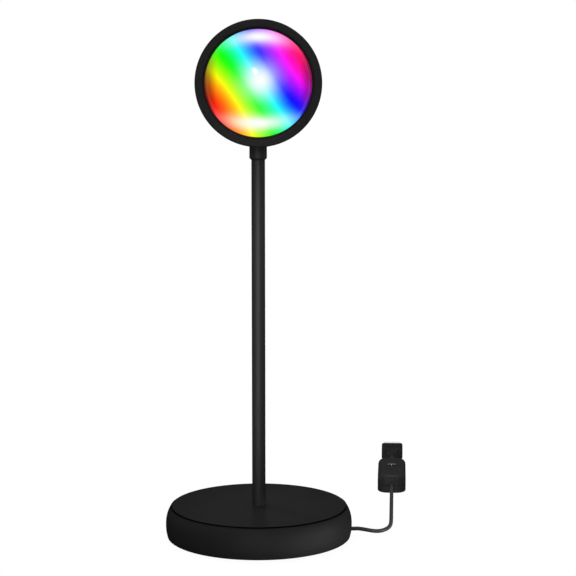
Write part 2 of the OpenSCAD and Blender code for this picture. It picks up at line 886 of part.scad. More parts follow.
button_at = [0, switch_l / 2];
switch_floor = switch_wall;
switch_roof = switch_h - switch_wall;
screw_spots = [[5.2, 9.5], [-5.2, switch_l - 9.5]];
boss_r = 2.1;
flange_t = 1;
flange_top = switch_roof - seat;
spring_r = 1.9;
spring_wire = 0.5;
spring_z = switch_floor + 1;
case_screw_d = 1.6;
case_screw_head = [3.6, 1.1];
case_screw_sink = 1.6;
case_screw_bite = 3.6;
plunger_r = 1.2;
flange_w = 1.2;
contact_w = 4;
contact_t = 0.6;
contact_foot = 5;
contact_out = 6.5;

module switch_solid() {
    translate([0, switch_l / 2, 0])
        soft_block(switch_l, switch_w, switch_h, switch_corner, switch_edge, 1.2);
}

module switch_hollow() {
    translate([0, switch_l / 2, switch_floor])
        linear_extrude(switch_roof - switch_floor)
            polygon(round_rect(switch_w - 2 * switch_edge + 1.6, switch_l - 2 * switch_edge + 1.6,
                switch_corner - switch_wall));
}

module cord_entries() {
    translate([0, -past, switch_axis])
        rotate([-90, 0, 0])
            cylinder(d = cord_d + gap, h = switch_l + 2 * past);
}

module switch_case_top() {
    color("#1a1a1c")
        on_run(run_start[1])
            difference() {
                union() {
                    difference() {
                        switch_solid();
                        switch_hollow();
                    }
                    for (p = screw_spots)
                        translate([p[0], p[1], switch_axis])
                            cylinder(r = boss_r, h = switch_roof - switch_axis + switch_wall / 2);
                    translate([button_at[0], button_at[1], switch_roof + switch_wall / 2])
                        cylinder(d1 = rim_d + 1, d2 = rim_d - 0.6, h = switch_wall / 2 + rim_h, $fn = 48);
                }
                translate([-switch_w, -past, -past])
                    cube([2 * switch_w, switch_l + 2 * past, switch_axis + past]);
                cord_entries();
                translate([button_at[0], button_at[1], switch_roof - past])
                    cylinder(d = button_d + 2 * seat + 0.2, h = switch_h);
                for (p = screw_spots)
                    translate([p[0], p[1], switch_axis - past])
                        cylinder(d = case_screw_d + 2 * fit, h = past + case_screw_bite, $fn = 24);
            }
}

module switch_case_bottom() {
    color("#1a1a1c")
        on_run(run_start[1])
            difference() {
                union() {
                    difference() {
                        switch_solid();
                        switch_hollow();
                    }
                    for (p = screw_spots)
                        translate([p[0], p[1], 0.2])
                            cylinder(r = boss_r + 0.9, h = switch_axis - 0.2);
                    translate([button_at[0], button_at[1], switch_floor - 0.5])
                        cylinder(r = spring_r + 0.7, h = spring_z - switch_floor + 0.5);
                }
                translate([-switch_w, -past, switch_axis])
                    cube([2 * switch_w, switch_l + 2 * past, switch_h]);
                cord_entries();
                for (p = screw_spots) {
                    translate([p[0], p[1], -past])
                        cylinder(d = case_screw_d + 3 * seat, h = switch_axis + 2 * past, $fn = 24);
                    translate([p[0], p[1], -past])
                        cylinder(d = case_screw_head[0] + 4 * seat, h = past + case_screw_sink);
                }
            }
}

module switch_screws() {
    color("#b8babd")
        on_run(run_start[1])
            for (p = screw_spots)
                translate([p[0], p[1], case_screw_sink])
                    screw_up(case_screw_d, switch_axis - case_screw_sink + case_screw_bite - 0.6,
                        case_screw_head[0], case_screw_head[1]);
}

module switch_button() {
    r = button_d / 2;
    top = switch_h + rim_h + button_proud;
    under = flange_top - flange_t;
    plunger_z = spring_z + button_travel + gap;
    crown = 0.5;
    color("#0e0e10")
        on_run(run_start[1])
            translate([button_at[0], button_at[1], 0])
                rotate_extrude()
                    polygon([
                        [0, plunger_z], [plunger_r, plunger_z], [plunger_r, under],
                        [r + flange_w, under], [r + flange_w, flange_top],
                        [r, flange_top], [r, top - crown], [r - 0.15, top - 0.2], [r - 0.5, top],
                        [r * 0.6, top - 0.2], [0, top - 0.35]
                    ]);
}

module switch_spring() {
    turns = 5;
    steps = 8;
    bottom = spring_z + spring_wire / 2;
    rise = flange_top - flange_t - spring_z - spring_wire - 2 * fit;
    coil = [for (i = [0:turns * steps])
        [spring_r * cos(360 * i / steps), spring_r * sin(360 * i / steps),
            bottom + fit + rise * i / (turns * steps)]];
    color("#b8babd")
        on_run(run_start[1])
            translate([button_at[0], button_at[1], 0])
                swept_tube(coil, spring_wire / 2, [0, 0, 1], 6);
}

module switch_contacts() {
    color("#c9a94f")
        on_run(run_start[1])
            for (side = [-1, 1])
                translate([-contact_w / 2, button_at[1] + side * contact_out, switch_floor]) {
                    cube([contact_w, contact_t, flange_top - flange_t - button_travel - gap - switch_floor]);
                    translate([0, side > 0 ? 0 : contact_t - contact_foot, 0])
                        cube([contact_w, contact_foot, contact_t]);
                }
}

// ---- Plug ----

neck_y = sleeve_l;
shoulder_y = neck_y + grip_neck_l;
grip_y = shoulder_y + shoulder_l;
grip_front = grip_y + grip_l;
grip_neck_t = 6.4;
pocket = 4;

// A rounded slice of the grip across the run, at y, w wide and t thick about the lead's axis
module grip_slice(y, w, t, r) {
    translate([0, y + 0.01, plug_axis])
        rotate([90, 0, 0])
            linear_extrude(0.01)
                polygon(round_rect(w, t, r, 4));
}

module plug_grip() {
    panel = [8.4, 11.4];
    panel_depth = 0.3;
    rim = 0.6;
    color("#1d1d1f")
        on_run(plug_y)
            difference() {
                union() {
                    hull() {
                        grip_slice(shoulder_y, grip_neck_w, grip_neck_t, 1.4);
                        grip_slice(grip_y, grip_w, grip_t, 1.4);
                        grip_slice(grip_front - rim, grip_w, grip_t, 1.4);
                        grip_slice(grip_front, grip_w - 2 * rim, grip_t - 2 * rim, 0.9);
                    }
                    hull() {
                        grip_slice(neck_y, grip_neck_w - rim, grip_neck_t - rim, 1.4);
                        grip_slice(neck_y + 0.5, grip_neck_w, grip_neck_t, 1.6);
                        grip_slice(shoulder_y + 0.2, grip_neck_w, grip_neck_t, 1.6);
                    }
                }
                translate([-shell_w / 2 - seat, grip_front - pocket, plug_axis - shell_h / 2 - seat])
                    cube([shell_w + 2 * seat, pocket + past, shell_h + 2 * seat]);
                translate([0, (grip_y + grip_front) / 2, plug_axis + grip_t / 2 - panel_depth])
                    linear_extrude(past)
                        polygon(round_rect(panel[0], panel[1], 0.8, 4));
            }
}

module plug_sleeve() {
    wide = 2.9;
    slim = 2.55;
    ribs = 3;
    pitch = sleeve_l / (ribs + 0.5);
    color("#1d1d1f")
        on_run(plug_y)
            translate([0, 0, plug_axis])
                rotate([-90, 0, 0])
                    rotate_extrude()
                        polygon(concat(
                            [[0, sleeve_l], [0, 0], [slim, 0]],
                            [for (i = [0:ribs - 1], s = [[0.5, 0], [0.62, -0.45], [0.98, -0.45], [1.1, 0]])
                                [slim + (wide - slim) * (i + s[0]) / (ribs + 0.5) + s[1], pitch * (i + s[0])]],
                            [[wide, sleeve_l]]));
}

module plug_shell() {
    window = [2.7, 2];
    window_x = 2.05;
    window_y = 4.8;
    r = 0.6;
    color("#c9cbce")
        on_run(plug_y)
            translate([0, grip_front - pocket + seat, plug_axis])
                difference() {
                    translate([0, pocket - seat + shell_l, 0])
                        rotate([90, 0, 0])
                            linear_extrude(pocket - seat + shell_l)
                                polygon(round_rect(shell_w, shell_h, r, 4));
                    translate([0, pocket + shell_l + past, 0])
                        rotate([90, 0, 0])
                            linear_extrude(pocket + shell_l + 2 * past)
                                polygon(round_rect(shell_w - 2 * shell_wall, shell_h - 2 * shell_wall,
                                    r - shell_wall * 0.8, 4));
                    for (side = [-1, 1])
                        translate([side * window_x - window[0] / 2, pocket - seat + shell_l - window_y - window[1],
                            -shell_h])
                            cube([window[0], window[1], 2 * shell_h]);
                }
}

tongue_h = 1.9;
tongue_in = 1;

module plug_tongue() {
    top = plug_axis + shell_h / 2 - shell_wall - fit;
    width = shell_w - 2 * shell_wall - 2 * seat;
    start = grip_front - pocket + seat;
    color("#f4f4f2")
        on_run(plug_y) {
            translate([-width / 2 + 0.3, start, top - tongue_h])
                cube([width - 0.6, pocket - seat + shell_l - tongue_in, tongue_h]);
            translate([-width / 2 + 0.3, start, plug_axis - shell_h / 2 + shell_wall + fit])
                cube([width - 0.6, 4, shell_h - 2 * shell_wall - 2 * fit - 0.5]);
        }
}

module plug_contacts() {
    strip = [1, 0.2];
    bottom = plug_axis + shell_h / 2 - shell_wall - fit - tongue_h;
    color("#d8b04a")
        on_run(plug_y)
            for (x = [-3.5, -1, 1, 3.5])
                translate([x - strip[0] / 2, grip_front + 1, bottom - strip[1]])
                    cube([strip[0], shell_l - tongue_in - 2, strip[1]]);
}

// ---- The lead ----

module cord_lower() {
    color("#1a1a1c")
        swept_tube(smooth(lower_route, 2), cord_d / 2, [0, 0, 1]);
}

module cord_upper() {
    color("#1a1a1c")
        swept_tube(smooth(upper_route, 2), cord_d / 2, [0, 0, 1]);
}

base_shell();
base_weight();
base_plate();
foot_pad();
base_screws();
pole_stud();
pole_nut();
lock_washer();
cord_grommet();
cord_clamp();
clamp_screws();
pole_tube();
pole_collar();
inner_lead();
neck_stem();
swivel_washer();
swivel_clip();
head_housing();
front_ring();
dome_lens();
lens_gasket();
colour_filter();
lens_tube();
condenser_lens();
led_board();
led_chip();
heat_sink();
sink_screws();
driver_board();
driver_parts();
driver_screws();
pivot_screw();
pivot_nut();
pivot_washers();
switch_case_top();
switch_case_bottom();
switch_screws();
switch_button();
switch_spring();
switch_contacts();
plug_grip();
plug_sleeve();
plug_shell();
plug_tongue();
plug_contacts();
cord_lower();
cord_upper();
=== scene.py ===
import math

import bmesh
import bpy
from mathutils import Matrix, Vector


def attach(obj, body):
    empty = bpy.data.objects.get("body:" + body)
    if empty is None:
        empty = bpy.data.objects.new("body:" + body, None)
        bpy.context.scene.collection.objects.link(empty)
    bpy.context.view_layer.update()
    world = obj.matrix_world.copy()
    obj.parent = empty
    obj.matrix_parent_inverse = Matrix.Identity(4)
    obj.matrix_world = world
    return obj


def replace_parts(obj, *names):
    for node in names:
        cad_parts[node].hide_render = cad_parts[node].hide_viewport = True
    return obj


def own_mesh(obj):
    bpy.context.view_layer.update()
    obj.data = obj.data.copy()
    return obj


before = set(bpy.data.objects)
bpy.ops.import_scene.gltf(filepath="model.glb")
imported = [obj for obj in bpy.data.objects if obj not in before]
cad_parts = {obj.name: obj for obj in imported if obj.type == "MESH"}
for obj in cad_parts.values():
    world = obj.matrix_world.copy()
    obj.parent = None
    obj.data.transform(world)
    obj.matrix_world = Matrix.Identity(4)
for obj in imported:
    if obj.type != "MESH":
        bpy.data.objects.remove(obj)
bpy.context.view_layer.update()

# ---- Camera ----
# A product camera with a long lens stands a good metre in front of the lamp, a little above the lens head, and
# looks slightly down and to the right. It has no shift and everything is sharp.
camera_lens = bpy.data.cameras.new("product_camera")
camera_lens.sensor_width = 36
camera_lens.lens = 118.94
camera = bpy.data.objects.new("product_camera", camera_lens)
camera.location = (-0.0077, -1.1114, 0.3076)
looks_down, looks_right = math.radians(8.05), math.radians(1.296)
camera.rotation_euler = (math.radians(90) - looks_down, 0, -looks_right)
bpy.context.collection.objects.link(camera)
bpy.context.scene.camera = camera

# ---- Lead ----
# A thin round lead with two cores under a soft black vinyl jacket. It leaves the base through the grommet, drops to
# the table, bends round and runs away from the viewer, lifting into the switch and out of it into the plug's sleeve.
lead_d = 0.0024
lower_route = [
    (0.0554, 0, 0.0042), (0.0574, 0, 0.0042), (0.0596, 0, 0.0042), (0.0638, 0.0004, 0.0035), (0.068, 0.0016, 0.0024),
    (0.0716, 0.0036, 0.0016), (0.0748, 0.0064, 0.00125), (0.0774, 0.01, 0.0012), (0.0792, 0.014, 0.0012),
    (0.0804, 0.0185, 0.0012), (0.0812, 0.024, 0.0012), (0.082, 0.032, 0.0012), (0.0828, 0.042, 0.0012),
    (0.0836, 0.052, 0.0012), (0.0844, 0.062, 0.0012), (0.0852, 0.072, 0.0012), (0.086, 0.082, 0.0013),
    (0.0864, 0.087, 0.002), (0.0868, 0.092, 0.0034), (0.0872, 0.097, 0.0047), (0.0874, 0.0995, 0.005),
    (0.0877, 0.10325, 0.005)]
upper_route = [
    (0.0918, 0.1545, 0.005), (0.092, 0.157, 0.005), (0.09224, 0.16, 0.0045), (0.09248, 0.163, 0.0033),
    (0.09272, 0.166, 0.002), (0.09304, 0.17, 0.00125), (0.09336, 0.174, 0.0016), (0.09368, 0.178, 0.0028),
    (0.09392, 0.181, 0.00375), (0.09408, 0.183, 0.004), (0.09424, 0.185, 0.004), (0.0944, 0.187, 0.004)]


class Socket:
    """A material's tree with one of its outputs. Sums on it add Math nodes, and node() adds any other."""

    def __init__(self, tree, output=None):
        self.tree = tree
        self.output = output

    def node(self, kind, inputs=(), out=0, stops=None, **settings):
        node = self.tree.nodes.new(kind)
        for name, value in settings.items():
            setattr(node, name, value)
        if stops:
            ramp = node.color_ramp.elements
            ramp.remove(ramp[1])
            ramp[0].position, ramp[0].color = stops[0][0], (*stops[0][1], 1)
            for position, colour in stops[1:]:
                ramp.new(position).color = (*colour, 1)
        for key, value in dict(inputs).items():
            socket = node.inputs[key] if isinstance(key, int) else next(
                s for s in node.inputs if key == s.identifier or (key == s.name and s.enabled))
            if isinstance(value, Socket):
                self.tree.links.new(value.output, socket)
            elif socket.type == "RGBA" and len(value) == 3:
                socket.default_value = (*value, 1)
            else:
                socket.default_value = value
        if not node.outputs:
            return None
        output = node.outputs[out] if isinstance(out, int) else next(
            s for s in node.outputs if out == s.identifier or out == s.name)
        return Socket(self.tree, output)

    def math(self, operation, *values):
        return self.node("ShaderNodeMath", enumerate(values), operation=operation)

    def __add__(self, other):
        return self.math("ADD", self, other)

    def __sub__(self, other):
        return self.math("SUBTRACT", self, other)

    def __rsub__(self, other):
        return self.math("SUBTRACT", other, self)

    def __mul__(self, other):
        return self.math("MULTIPLY", self, other)

    def __truediv__(self, other):
        return self.math("DIVIDE", self, other)

    def __pow__(self, other):
        return self.math("POWER", self, other)

    def __neg__(self):
        return self.math("MULTIPLY", self, -1.0)

    __radd__ = __add__
    __rmul__ = __mul__

    def step(self, low, high):
        """0 below low, 1 above high, smooth between; high may be the lower one."""
        return self.node("ShaderNodeMapRange", {0: self, 1: low, 2: high}, interpolation_type="SMOOTHSTEP")

    def mix(self, first, second):
        """first where this is 0, second where it is 1."""
        return self.node("ShaderNodeMix", {"Factor_Float": self, "A_Color": first, "B_Color": second},
                         out="Result_Color", data_type="RGBA")

    def place(self, centre=(0, 0, 0), stretch=(1, 1, 1), turn=(0, 0, 0)):
        """Object coordinates in metres, moved so that centre is zero, turned and stretched."""
        where = self.node("ShaderNodeTexCoord", out="Object")
        moved = self.node("ShaderNodeVectorMath", {0: where, 1: centre}, operation="SUBTRACT")
        return self.node("ShaderNodeMapping", {"Vector": moved, "Rotation": turn, "Scale": stretch})

    def split(self):
        parts = self.tree.nodes.new("ShaderNodeSeparateXYZ")
        self.tree.links.new(self.output, parts.inputs[0])
        return [Socket(self.tree, part) for part in parts.outputs]

    def grain(self, scale, detail=2, rough=0.5):
        """Noise of this many cells a metre on these coordinates, from 0 to 1."""
        return self.node("ShaderNodeTexNoise", {"Vector": self, "Scale": scale, "Detail": detail, "Roughness": rough},
                         out="Fac")

    def relief(self, depth):
        """A bump of this depth in metres."""
        return self.node("ShaderNodeBump", {"Height": self, "Distance": depth, "Strength": 1.0})

    def sheen(self, weight, fade=3.0):
        """The weight of a coat whose gloss dies away towards the outline, as on a fine matt skin."""
        facing = self.node("ShaderNodeLayerWeight", {"Blend": 0.5}, out="Facing")
        return (1 - facing) ** fade * weight


def finish(name, recipe):
    """A material whose Principled shader gets the sockets that recipe returns; recipe adds its nodes to paint."""
    material = bpy.data.materials.new(name)
    material.use_nodes = True
    material.node_tree.nodes.clear()
    paint = Socket(material.node_tree)
    shader = paint.node("ShaderNodeBsdfPrincipled", recipe(paint))
    paint.node("ShaderNodeOutputMaterial", {"Surface": shader})
    return material


def jacket_recipe(paint):
    spot = paint.place()
    mottle = spot.grain(420, 3)
    waves = spot.grain(130, 1)
    return {"Base Color": mottle.mix((0.028, 0.0255, 0.0235), (0.043, 0.039, 0.036)),
            "Roughness": 0.5 + 0.16 * mottle, "Specular IOR Level": 0.0,
            "Coat Weight": paint.sheen(0.4, 1.5), "Coat Roughness": 0.35,
            "Normal": (waves + 0.25 * mottle).relief(0.00005)}


lead_jacket = finish("lead_jacket", jacket_recipe)


def lead_curve(name, route):
    """An open round lead through the route's points, whose bends ease from point to point."""
    line = bpy.data.curves.new(name, "CURVE")
    line.dimensions = "3D"
    line.bevel_depth = lead_d / 2
    line.bevel_resolution = 6
    line.resolution_u = 8
    line.use_fill_caps = True
    line.materials.append(lead_jacket)
    spline = line.splines.new("BEZIER")
    spline.bezier_points.add(len(route) - 1)
    for i, point in enumerate(spline.bezier_points):
        before, here, after = (Vector(route[j]) for j in (max(i - 1, 0), i, min(i + 1, len(route) - 1)))
        along = (after - before).normalized()
        point.handle_left_type = point.handle_right_type = "FREE"
        point.co = here
        point.handle_left = here - along * (here - before).length / 3
        point.handle_right = here + along * (after - here).length / 3
    lead = bpy.data.objects.new(name, line)
    bpy.context.collection.objects.link(lead)
    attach(lead, "base")
    return lead


lead_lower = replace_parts(lead_curve("lead_lower", lower_route), "cord_lower")
lead_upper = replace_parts(lead_curve("lead_upper", upper_route), "cord_upper")
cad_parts["inner_lead"].data.materials.clear()
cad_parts["inner_lead"].data.materials.append(lead_jacket)

# ---- Base ----
# The base is a heavy disc under a moulded shell with a flat top and a barrel-shaped side, finished satin black.
# The flat top is let into the side. Their joint is painted near-black, a dark joint line that is also painted shade
# in the crease, and the side's coat fades just below it as painted shade.
base_top, base_under = 19.5, 0.6
base_widest, side_mid = 55.7, 8.0
lip = (52.75, 18.95)
plate_edge = 52.1
shell_wall = 2.4
edge_r = 0.8
stud_hole_r = 3.15
lead_hole_r, lead_height = 1.95, 4.2
mm = 0.001
upright = Matrix.Identity(4)


def rounded(corners, step=12):
    """A closed outline through (x, y, radius) corners, each corner an arc of steps of so many degrees."""
    outline = []
    for i, (x, y, radius) in enumerate(corners):
        here = Vector((x, y))
        back = (Vector(corners[i - 1][:2]) - here).normalized()
        on = (Vector(corners[(i + 1) % len(corners)][:2]) - here).normalized()
        if not radius:
            outline.append((x, y))
            continue
        opening = back.angle(on)
        centre = here + (back + on).normalized() * radius / math.sin(opening / 2)
        arm = here + back * radius / math.tan(opening / 2) - centre
        sweep = math.pi - opening
        if back.cross(on) > 0:
            sweep = -sweep
        steps = max(1, math.ceil(abs(math.degrees(sweep)) / step))
        for k in range(steps + 1):
            turned_arm = arm.copy()
            turned_arm.rotate(Matrix.Rotation(sweep * k / steps, 2))
            outline.append(tuple(centre + turned_arm))
    return outline


def arc(x, y, radius, start, end, steps):
    """Points on a circle's arc, in degrees."""
    angles = [math.radians(start + (end - start) * i / steps) for i in range(steps + 1)]
    return [(x + radius * math.cos(a), y + radius * math.sin(a)) for a in angles]


def turned(profile, axis=upright, steps=128):
    """The points and faces of a closed (radius, height) outline turned about an axis, in millimetres."""
    count = len(profile)
    turn = [2 * math.pi * i / steps for i in range(steps)]
    points = [axis @ Vector((r * math.cos(t), r * math.sin(t), h)) for t in turn for r, h in profile]
    faces = [(i * count + j, i * count + (j + 1) % count, (i + 1) % steps * count + (j + 1) % count,
              (i + 1) % steps * count + j) for i in range(steps) for j in range(count)]
    return points, faces


def lofted(rings, place=upright, round_again=False):
    """The points and faces of a skin over rings of equal counts, closed by end faces or back onto the first ring."""
    count = len(rings[0])
    points = [place @ Vector(p) for ring in rings for p in ring]
    spans = len(rings) if round_again else len(rings) - 1
    total = len(points)
    faces = [((i * count + j) % total, (i * count + (j + 1) % count) % total,
              ((i + 1) * count + (j + 1) % count) % total, ((i + 1) * count + j) % total)
             for i in range(spans) for j in range(count)]
    if not round_again:
        faces += [tuple(range(count)), tuple(range(total - count, total))]
    return points, faces


def shade(mesh, sharp=32):
    mesh.shade_smooth()
    mesh.set_sharp_from_angle(angle=math.radians(sharp))


def shape(name, skin, sharp=32):
    """A mesh object from points in millimetres and faces, its doubles merged and its faces outwards."""
    mesh = bpy.data.meshes.new(name)
    points, faces = skin
    mesh.from_pydata([Vector(p) * mm for p in points], [], faces)
    work = bmesh.new()
    work.from_mesh(mesh)
    bmesh.ops.remove_doubles(work, verts=work.verts, dist=1e-6)
    bmesh.ops.dissolve_degenerate(work, edges=work.edges, dist=1e-7)
    bmesh.ops.recalc_face_normals(work, faces=work.faces)
    work.to_mesh(mesh)
    work.free()
    shade(mesh, sharp)
    thing = bpy.data.objects.new(name, mesh)
    bpy.context.collection.objects.link(thing)
    return thing


def settle(thing):
    """Turns the thing's modifiers into its mesh."""
    bpy.context.view_layer.update()
    mesh = bpy.data.meshes.new_from_object(thing.evaluated_get(bpy.context.evaluated_depsgraph_get()))
    thing.modifiers.clear()
    thing.data = mesh
    return thing


def carve(thing, *tools, sharp=32):
    """Cuts the tools out of the thing and deletes them."""
    for tool in tools:
        cut = thing.modifiers.new("cut", "BOOLEAN")
        cut.operation, cut.solver, cut.object = "DIFFERENCE", "EXACT", tool
    settle(thing)
    for tool in tools:
        bpy.data.objects.remove(tool)
    work = bmesh.new()
    work.from_mesh(thing.data)
    bmesh.ops.remove_doubles(work, verts=work.verts, dist=2e-6)
    bmesh.ops.dissolve_degenerate(work, edges=work.edges, dist=1e-6)
    work.to_mesh(thing.data)
    work.free()
    shade(thing.data, sharp)
    return thing


def fit(thing, body, slot, material, *nodes):
    """Gives a finished piece its material and its body, and hides the CAD nodes that it stands for; slot is not used.
    """
    thing.data.materials.clear()
    thing.data.materials.append(material)
    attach(thing, body)
    if nodes:
        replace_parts(thing, *nodes)
    return thing


def dress(material, *nodes):
    """Gives CAD nodes that stay their material."""
    for name in nodes:
        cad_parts[name].data.materials.clear()
        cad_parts[name].data.materials.append(material)


def side_radius(z):
    """The barrel side, widest low down and drawn in more quickly near the top face."""
    if z > side_mid:
        return base_widest - (base_widest - lip[0]) * ((z - side_mid) / (lip[1] - side_mid)) ** 2.4
    return base_widest - 1.1 * ((side_mid - z) / (side_mid - base_under)) ** 2.2


side_levels = [base_under + edge_r + (lip[1] - base_under - edge_r) * i / 40 for i in range(41)]
inner_side = [(side_radius(z) - shell_wall, z) for z in side_levels[2:-5:2]]
shell_outline = (
    arc(side_radius(side_levels[0]) - edge_r, side_levels[0], edge_r, -90, -12, 8)
    + [(side_radius(z), z) for z in side_levels]
    + [(lip[0] - 0.1, lip[1] + 0.07), (lip[0] - 0.18, lip[1] + 0.02), (lip[0] - 0.2, lip[1] - 0.6),
       (plate_edge, lip[1] - 0.6), (plate_edge, base_top - 0.2), (plate_edge - 0.06, base_top - 0.06),
       (plate_edge - 0.2, base_top)]
    + [(stud_hole_r, base_top), (stud_hole_r, base_top - shell_wall), (inner_side[-1][0], base_top - shell_wall)]
    + inner_side[::-1] + [(inner_side[0][0], base_under)])
base_cover = shape("base_cover", turned(shell_outline, steps=192))
lead_hole = shape("lead_hole", turned(
    [(0, 45), (lead_hole_r, 45), (lead_hole_r, 60), (0, 60)],
    Matrix.Translation((0, 0, lead_height)) @ Matrix.Rotation(math.radians(90), 4, "Y"), steps=40))
carve(base_cover, lead_hole)


def shell_recipe(paint):
    spot = paint.place()
    z = spot.split()[2]
    peel = spot.grain(700, 2)
    cloud = spot.grain(38, 3)
    speck = spot.grain(2600, 1)
    below_top = z.step((base_top - 0.02) * mm, (base_top - 0.1) * mm)
    # Painted shade in the crease: the ring at the joint is painted near-black and loses its coat, and below it the
    # coat fades over 2.4 mm so that the side's top corner stays dark.
    joint_and_painted_shade = z.step((lip[1] - 0.35) * mm, lip[1] * mm) * below_top
    painted_crease_shade = z.step((lip[1] - 2.4) * mm, lip[1] * mm) * below_top
    colour = (0.55 * cloud + 0.45 * speck).mix((0.011, 0.011, 0.0112), (0.0155, 0.0155, 0.0157))
    return {"Base Color": joint_and_painted_shade.mix(colour, (0.001, 0.001, 0.001)),
            "Roughness": 0.5 + 0.12 * cloud, "Specular IOR Level": 0.0,
            "Coat Weight": (1 - joint_and_painted_shade) * (1 - 0.6 * painted_crease_shade) * paint.sheen(0.7 + 0.15 * cloud), "Coat Roughness": 0.64,
            "Normal": peel.relief(0.000012)}


satin_black_shell = finish("satin_black_shell", shell_recipe)
fit(base_cover, "base", "satin_black_shell", satin_black_shell, "base_shell")


def rubber_recipe(paint):
    skin = paint.place().grain(1500, 3)
    return {"Base Color": skin.mix((0.012, 0.012, 0.012), (0.024, 0.024, 0.023)), "Roughness": 0.7 + 0.15 * skin,
            "Specular IOR Level": 0.15, "Normal": skin.relief(0.00002)}


black_rubber = finish("black_rubber", rubber_recipe)
dress(black_rubber, "cord_grommet")

# ---- Parts under the base ----
# A zinc plate screwed to the weight's three feet closes the underside, and a foam pad is glued over it. The weight is
# sand-cast iron. A hollow brass stud, its nut and a washer pull the pole down onto the shell.


def cast_recipe(paint):
    spot = paint.place()
    sand, lumps = spot.grain(1800, 4, 0.65), spot.grain(160, 2)
    return {"Base Color": (0.5 * sand + 0.5 * lumps).mix((0.05, 0.049, 0.047), (0.15, 0.145, 0.14)),
            "Metallic": 0.6, "Roughness": 0.6 + 0.25 * sand, "Normal": (sand + lumps).relief(0.00008)}


def foam_recipe(paint):
    spot = paint.place()
    cells = spot.node("ShaderNodeTexVoronoi", {"Vector": spot, "Scale": 1700}, out="Distance")
    wear = spot.grain(60, 3)
    return {"Base Color": (0.6 * cells + 0.4 * wear).mix((0.012, 0.012, 0.013), (0.035, 0.035, 0.036)),
            "Roughness": 0.86 + 0.1 * wear, "Specular IOR Level": 0.2, "Normal": cells.relief(0.00012)}


def zinc_recipe(paint):
    spot = paint.place()
    spangle = spot.node("ShaderNodeTexVoronoi", {"Vector": spot, "Scale": 260}, out="Color")
    tint = spangle.split()[0]
    haze = spot.grain(900, 3)
    return {"Base Color": tint.mix((0.5, 0.51, 0.53), (0.66, 0.67, 0.68)), "Metallic": 1.0,
            "Roughness": 0.3 + 0.2 * haze + 0.08 * tint, "Normal": haze.relief(0.000008)}


def screw_recipe(paint):
    spot = paint.place()
    haze, fine = spot.grain(350, 2), spot.grain(2400, 3)
    return {"Base Color": haze.mix((0.62, 0.63, 0.66), (0.74, 0.72, 0.66)), "Metallic": 1.0,
            "Roughness": 0.24 + 0.2 * fine, "Normal": fine.relief(0.000006)}


def brass_recipe(paint):
    spot = paint.place()
    tarnish, fine = spot.grain(180, 4, 0.6), spot.grain(2600, 2)
    return {"Base Color": tarnish.mix((0.78, 0.58, 0.24), (0.52, 0.36, 0.15)), "Metallic": 1.0,
            "Roughness": 0.22 + 0.25 * tarnish, "Normal": fine.relief(0.000006)}


def plastic_recipe(paint):
    spot = paint.place()
    spark = spot.grain(2200, 2)
    flow = spot.grain(120, 2)
    return {"Base Color": flow.mix((0.014, 0.014, 0.015), (0.024, 0.024, 0.025)), "Roughness": 0.45 + 0.15 * spark,
            "Specular IOR Level": 0.25, "Normal": spark.relief(0.00001)}


zinc_screw = finish("zinc_screw", screw_recipe)


def grown(name, recipe, **sizes):
    """A mesh object that a Geometry Nodes tree makes from its named inputs."""
    tree = bpy.data.node_groups.new(name, "GeometryNodeTree")
    tree.interface.new_socket("Geometry", in_out="OUTPUT", socket_type="NodeSocketGeometry")
    kinds = {float: "Float", int: "Int", bpy.types.Object: "Object", bpy.types.Material: "Material"}
    sockets = {key: tree.interface.new_socket(key, in_out="INPUT", socket_type="NodeSocket" + kinds[type(value)])
               for key, value in sizes.items()}
    entry = tree.nodes.new("NodeGroupInput")
    grower = Socket(tree)
    made = recipe(grower, {key: Socket(tree, entry.outputs[key]) for key in sizes})
    made = grower.node("GeometryNodeRealizeInstances", {"Geometry": made})
    skin = Socket(tree, entry.outputs["material"])
    made = grower.node("GeometryNodeSetMaterial", {"Geometry": made, "Material": skin})
    grower.node("NodeGroupOutput", {"Geometry": made})
    thing = bpy.data.objects.new(name, bpy.data.meshes.new(name))
    bpy.context.collection.objects.link(thing)
    growth = thing.modifiers.new("growth", "NODES")
    growth.node_group = tree
    for key, value in sizes.items():
        growth[sockets[key].identifier] = value
    return settle(thing)


def ring_of_copies(grower, size):
    spots = grower.node("GeometryNodeMeshCircle", {"Vertices": size["copies"], "Radius": size["ring_radius"]})
    spots = grower.node("GeometryNodeTransform", {"Geometry": spots, "Rotation": (0, 0, math.radians(60))})
    source = grower.node("GeometryNodeObjectInfo", {"Object": size["copy_of"]}, out="Geometry")
    return grower.node("GeometryNodeInstanceOnPoints", {"Points": spots, "Instance": source})


one_screw = shape("one_screw", turned(
    [(0, 8), (0.9, 8), (1.2, 7.7), (1.4, 7.2), (1.5, 6.6), (1.5, 1), (2.8, 1), (2.8, 0.72), (2.72, 0.5), (2.5, 0.32),
     (2.1, 0.23), (1.6, 0.2), (0, 0.2)], steps=40))
recess = [shape(f"recess_{k}", lofted([[(x * g, y * g, z) for x, y in (
    (a, b), (-a, b), (-a, -b), (a, -b))] for z, g in ((0.1, 1.0), (0.7, 0.7))]))
    for k, (a, b) in enumerate(((1.4, 0.28), (0.28, 1.4)))]
carve(one_screw, *recess)
base_screw_ring = grown("base_screw_ring", ring_of_copies, copies=3, ring_radius=0.036, copy_of=one_screw,
                        material=zinc_screw)
bpy.data.objects.remove(one_screw)
shade(base_screw_ring.data)
fit(base_screw_ring, "base", "zinc_screw", zinc_screw, "base_screws")
black_plastic = finish("black_plastic", plastic_recipe)
dress(finish("cast_weight", cast_recipe), "base_weight")
dress(finish("zinc_plate", zinc_recipe), "base_plate")
dress(finish("foam_pad", foam_recipe), "foot_pad")
dress(finish("brass_stud", brass_recipe), "pole_stud")
dress(zinc_screw, "pole_nut", "lock_washer", "clamp_screws")
dress(black_plastic, "cord_clamp")

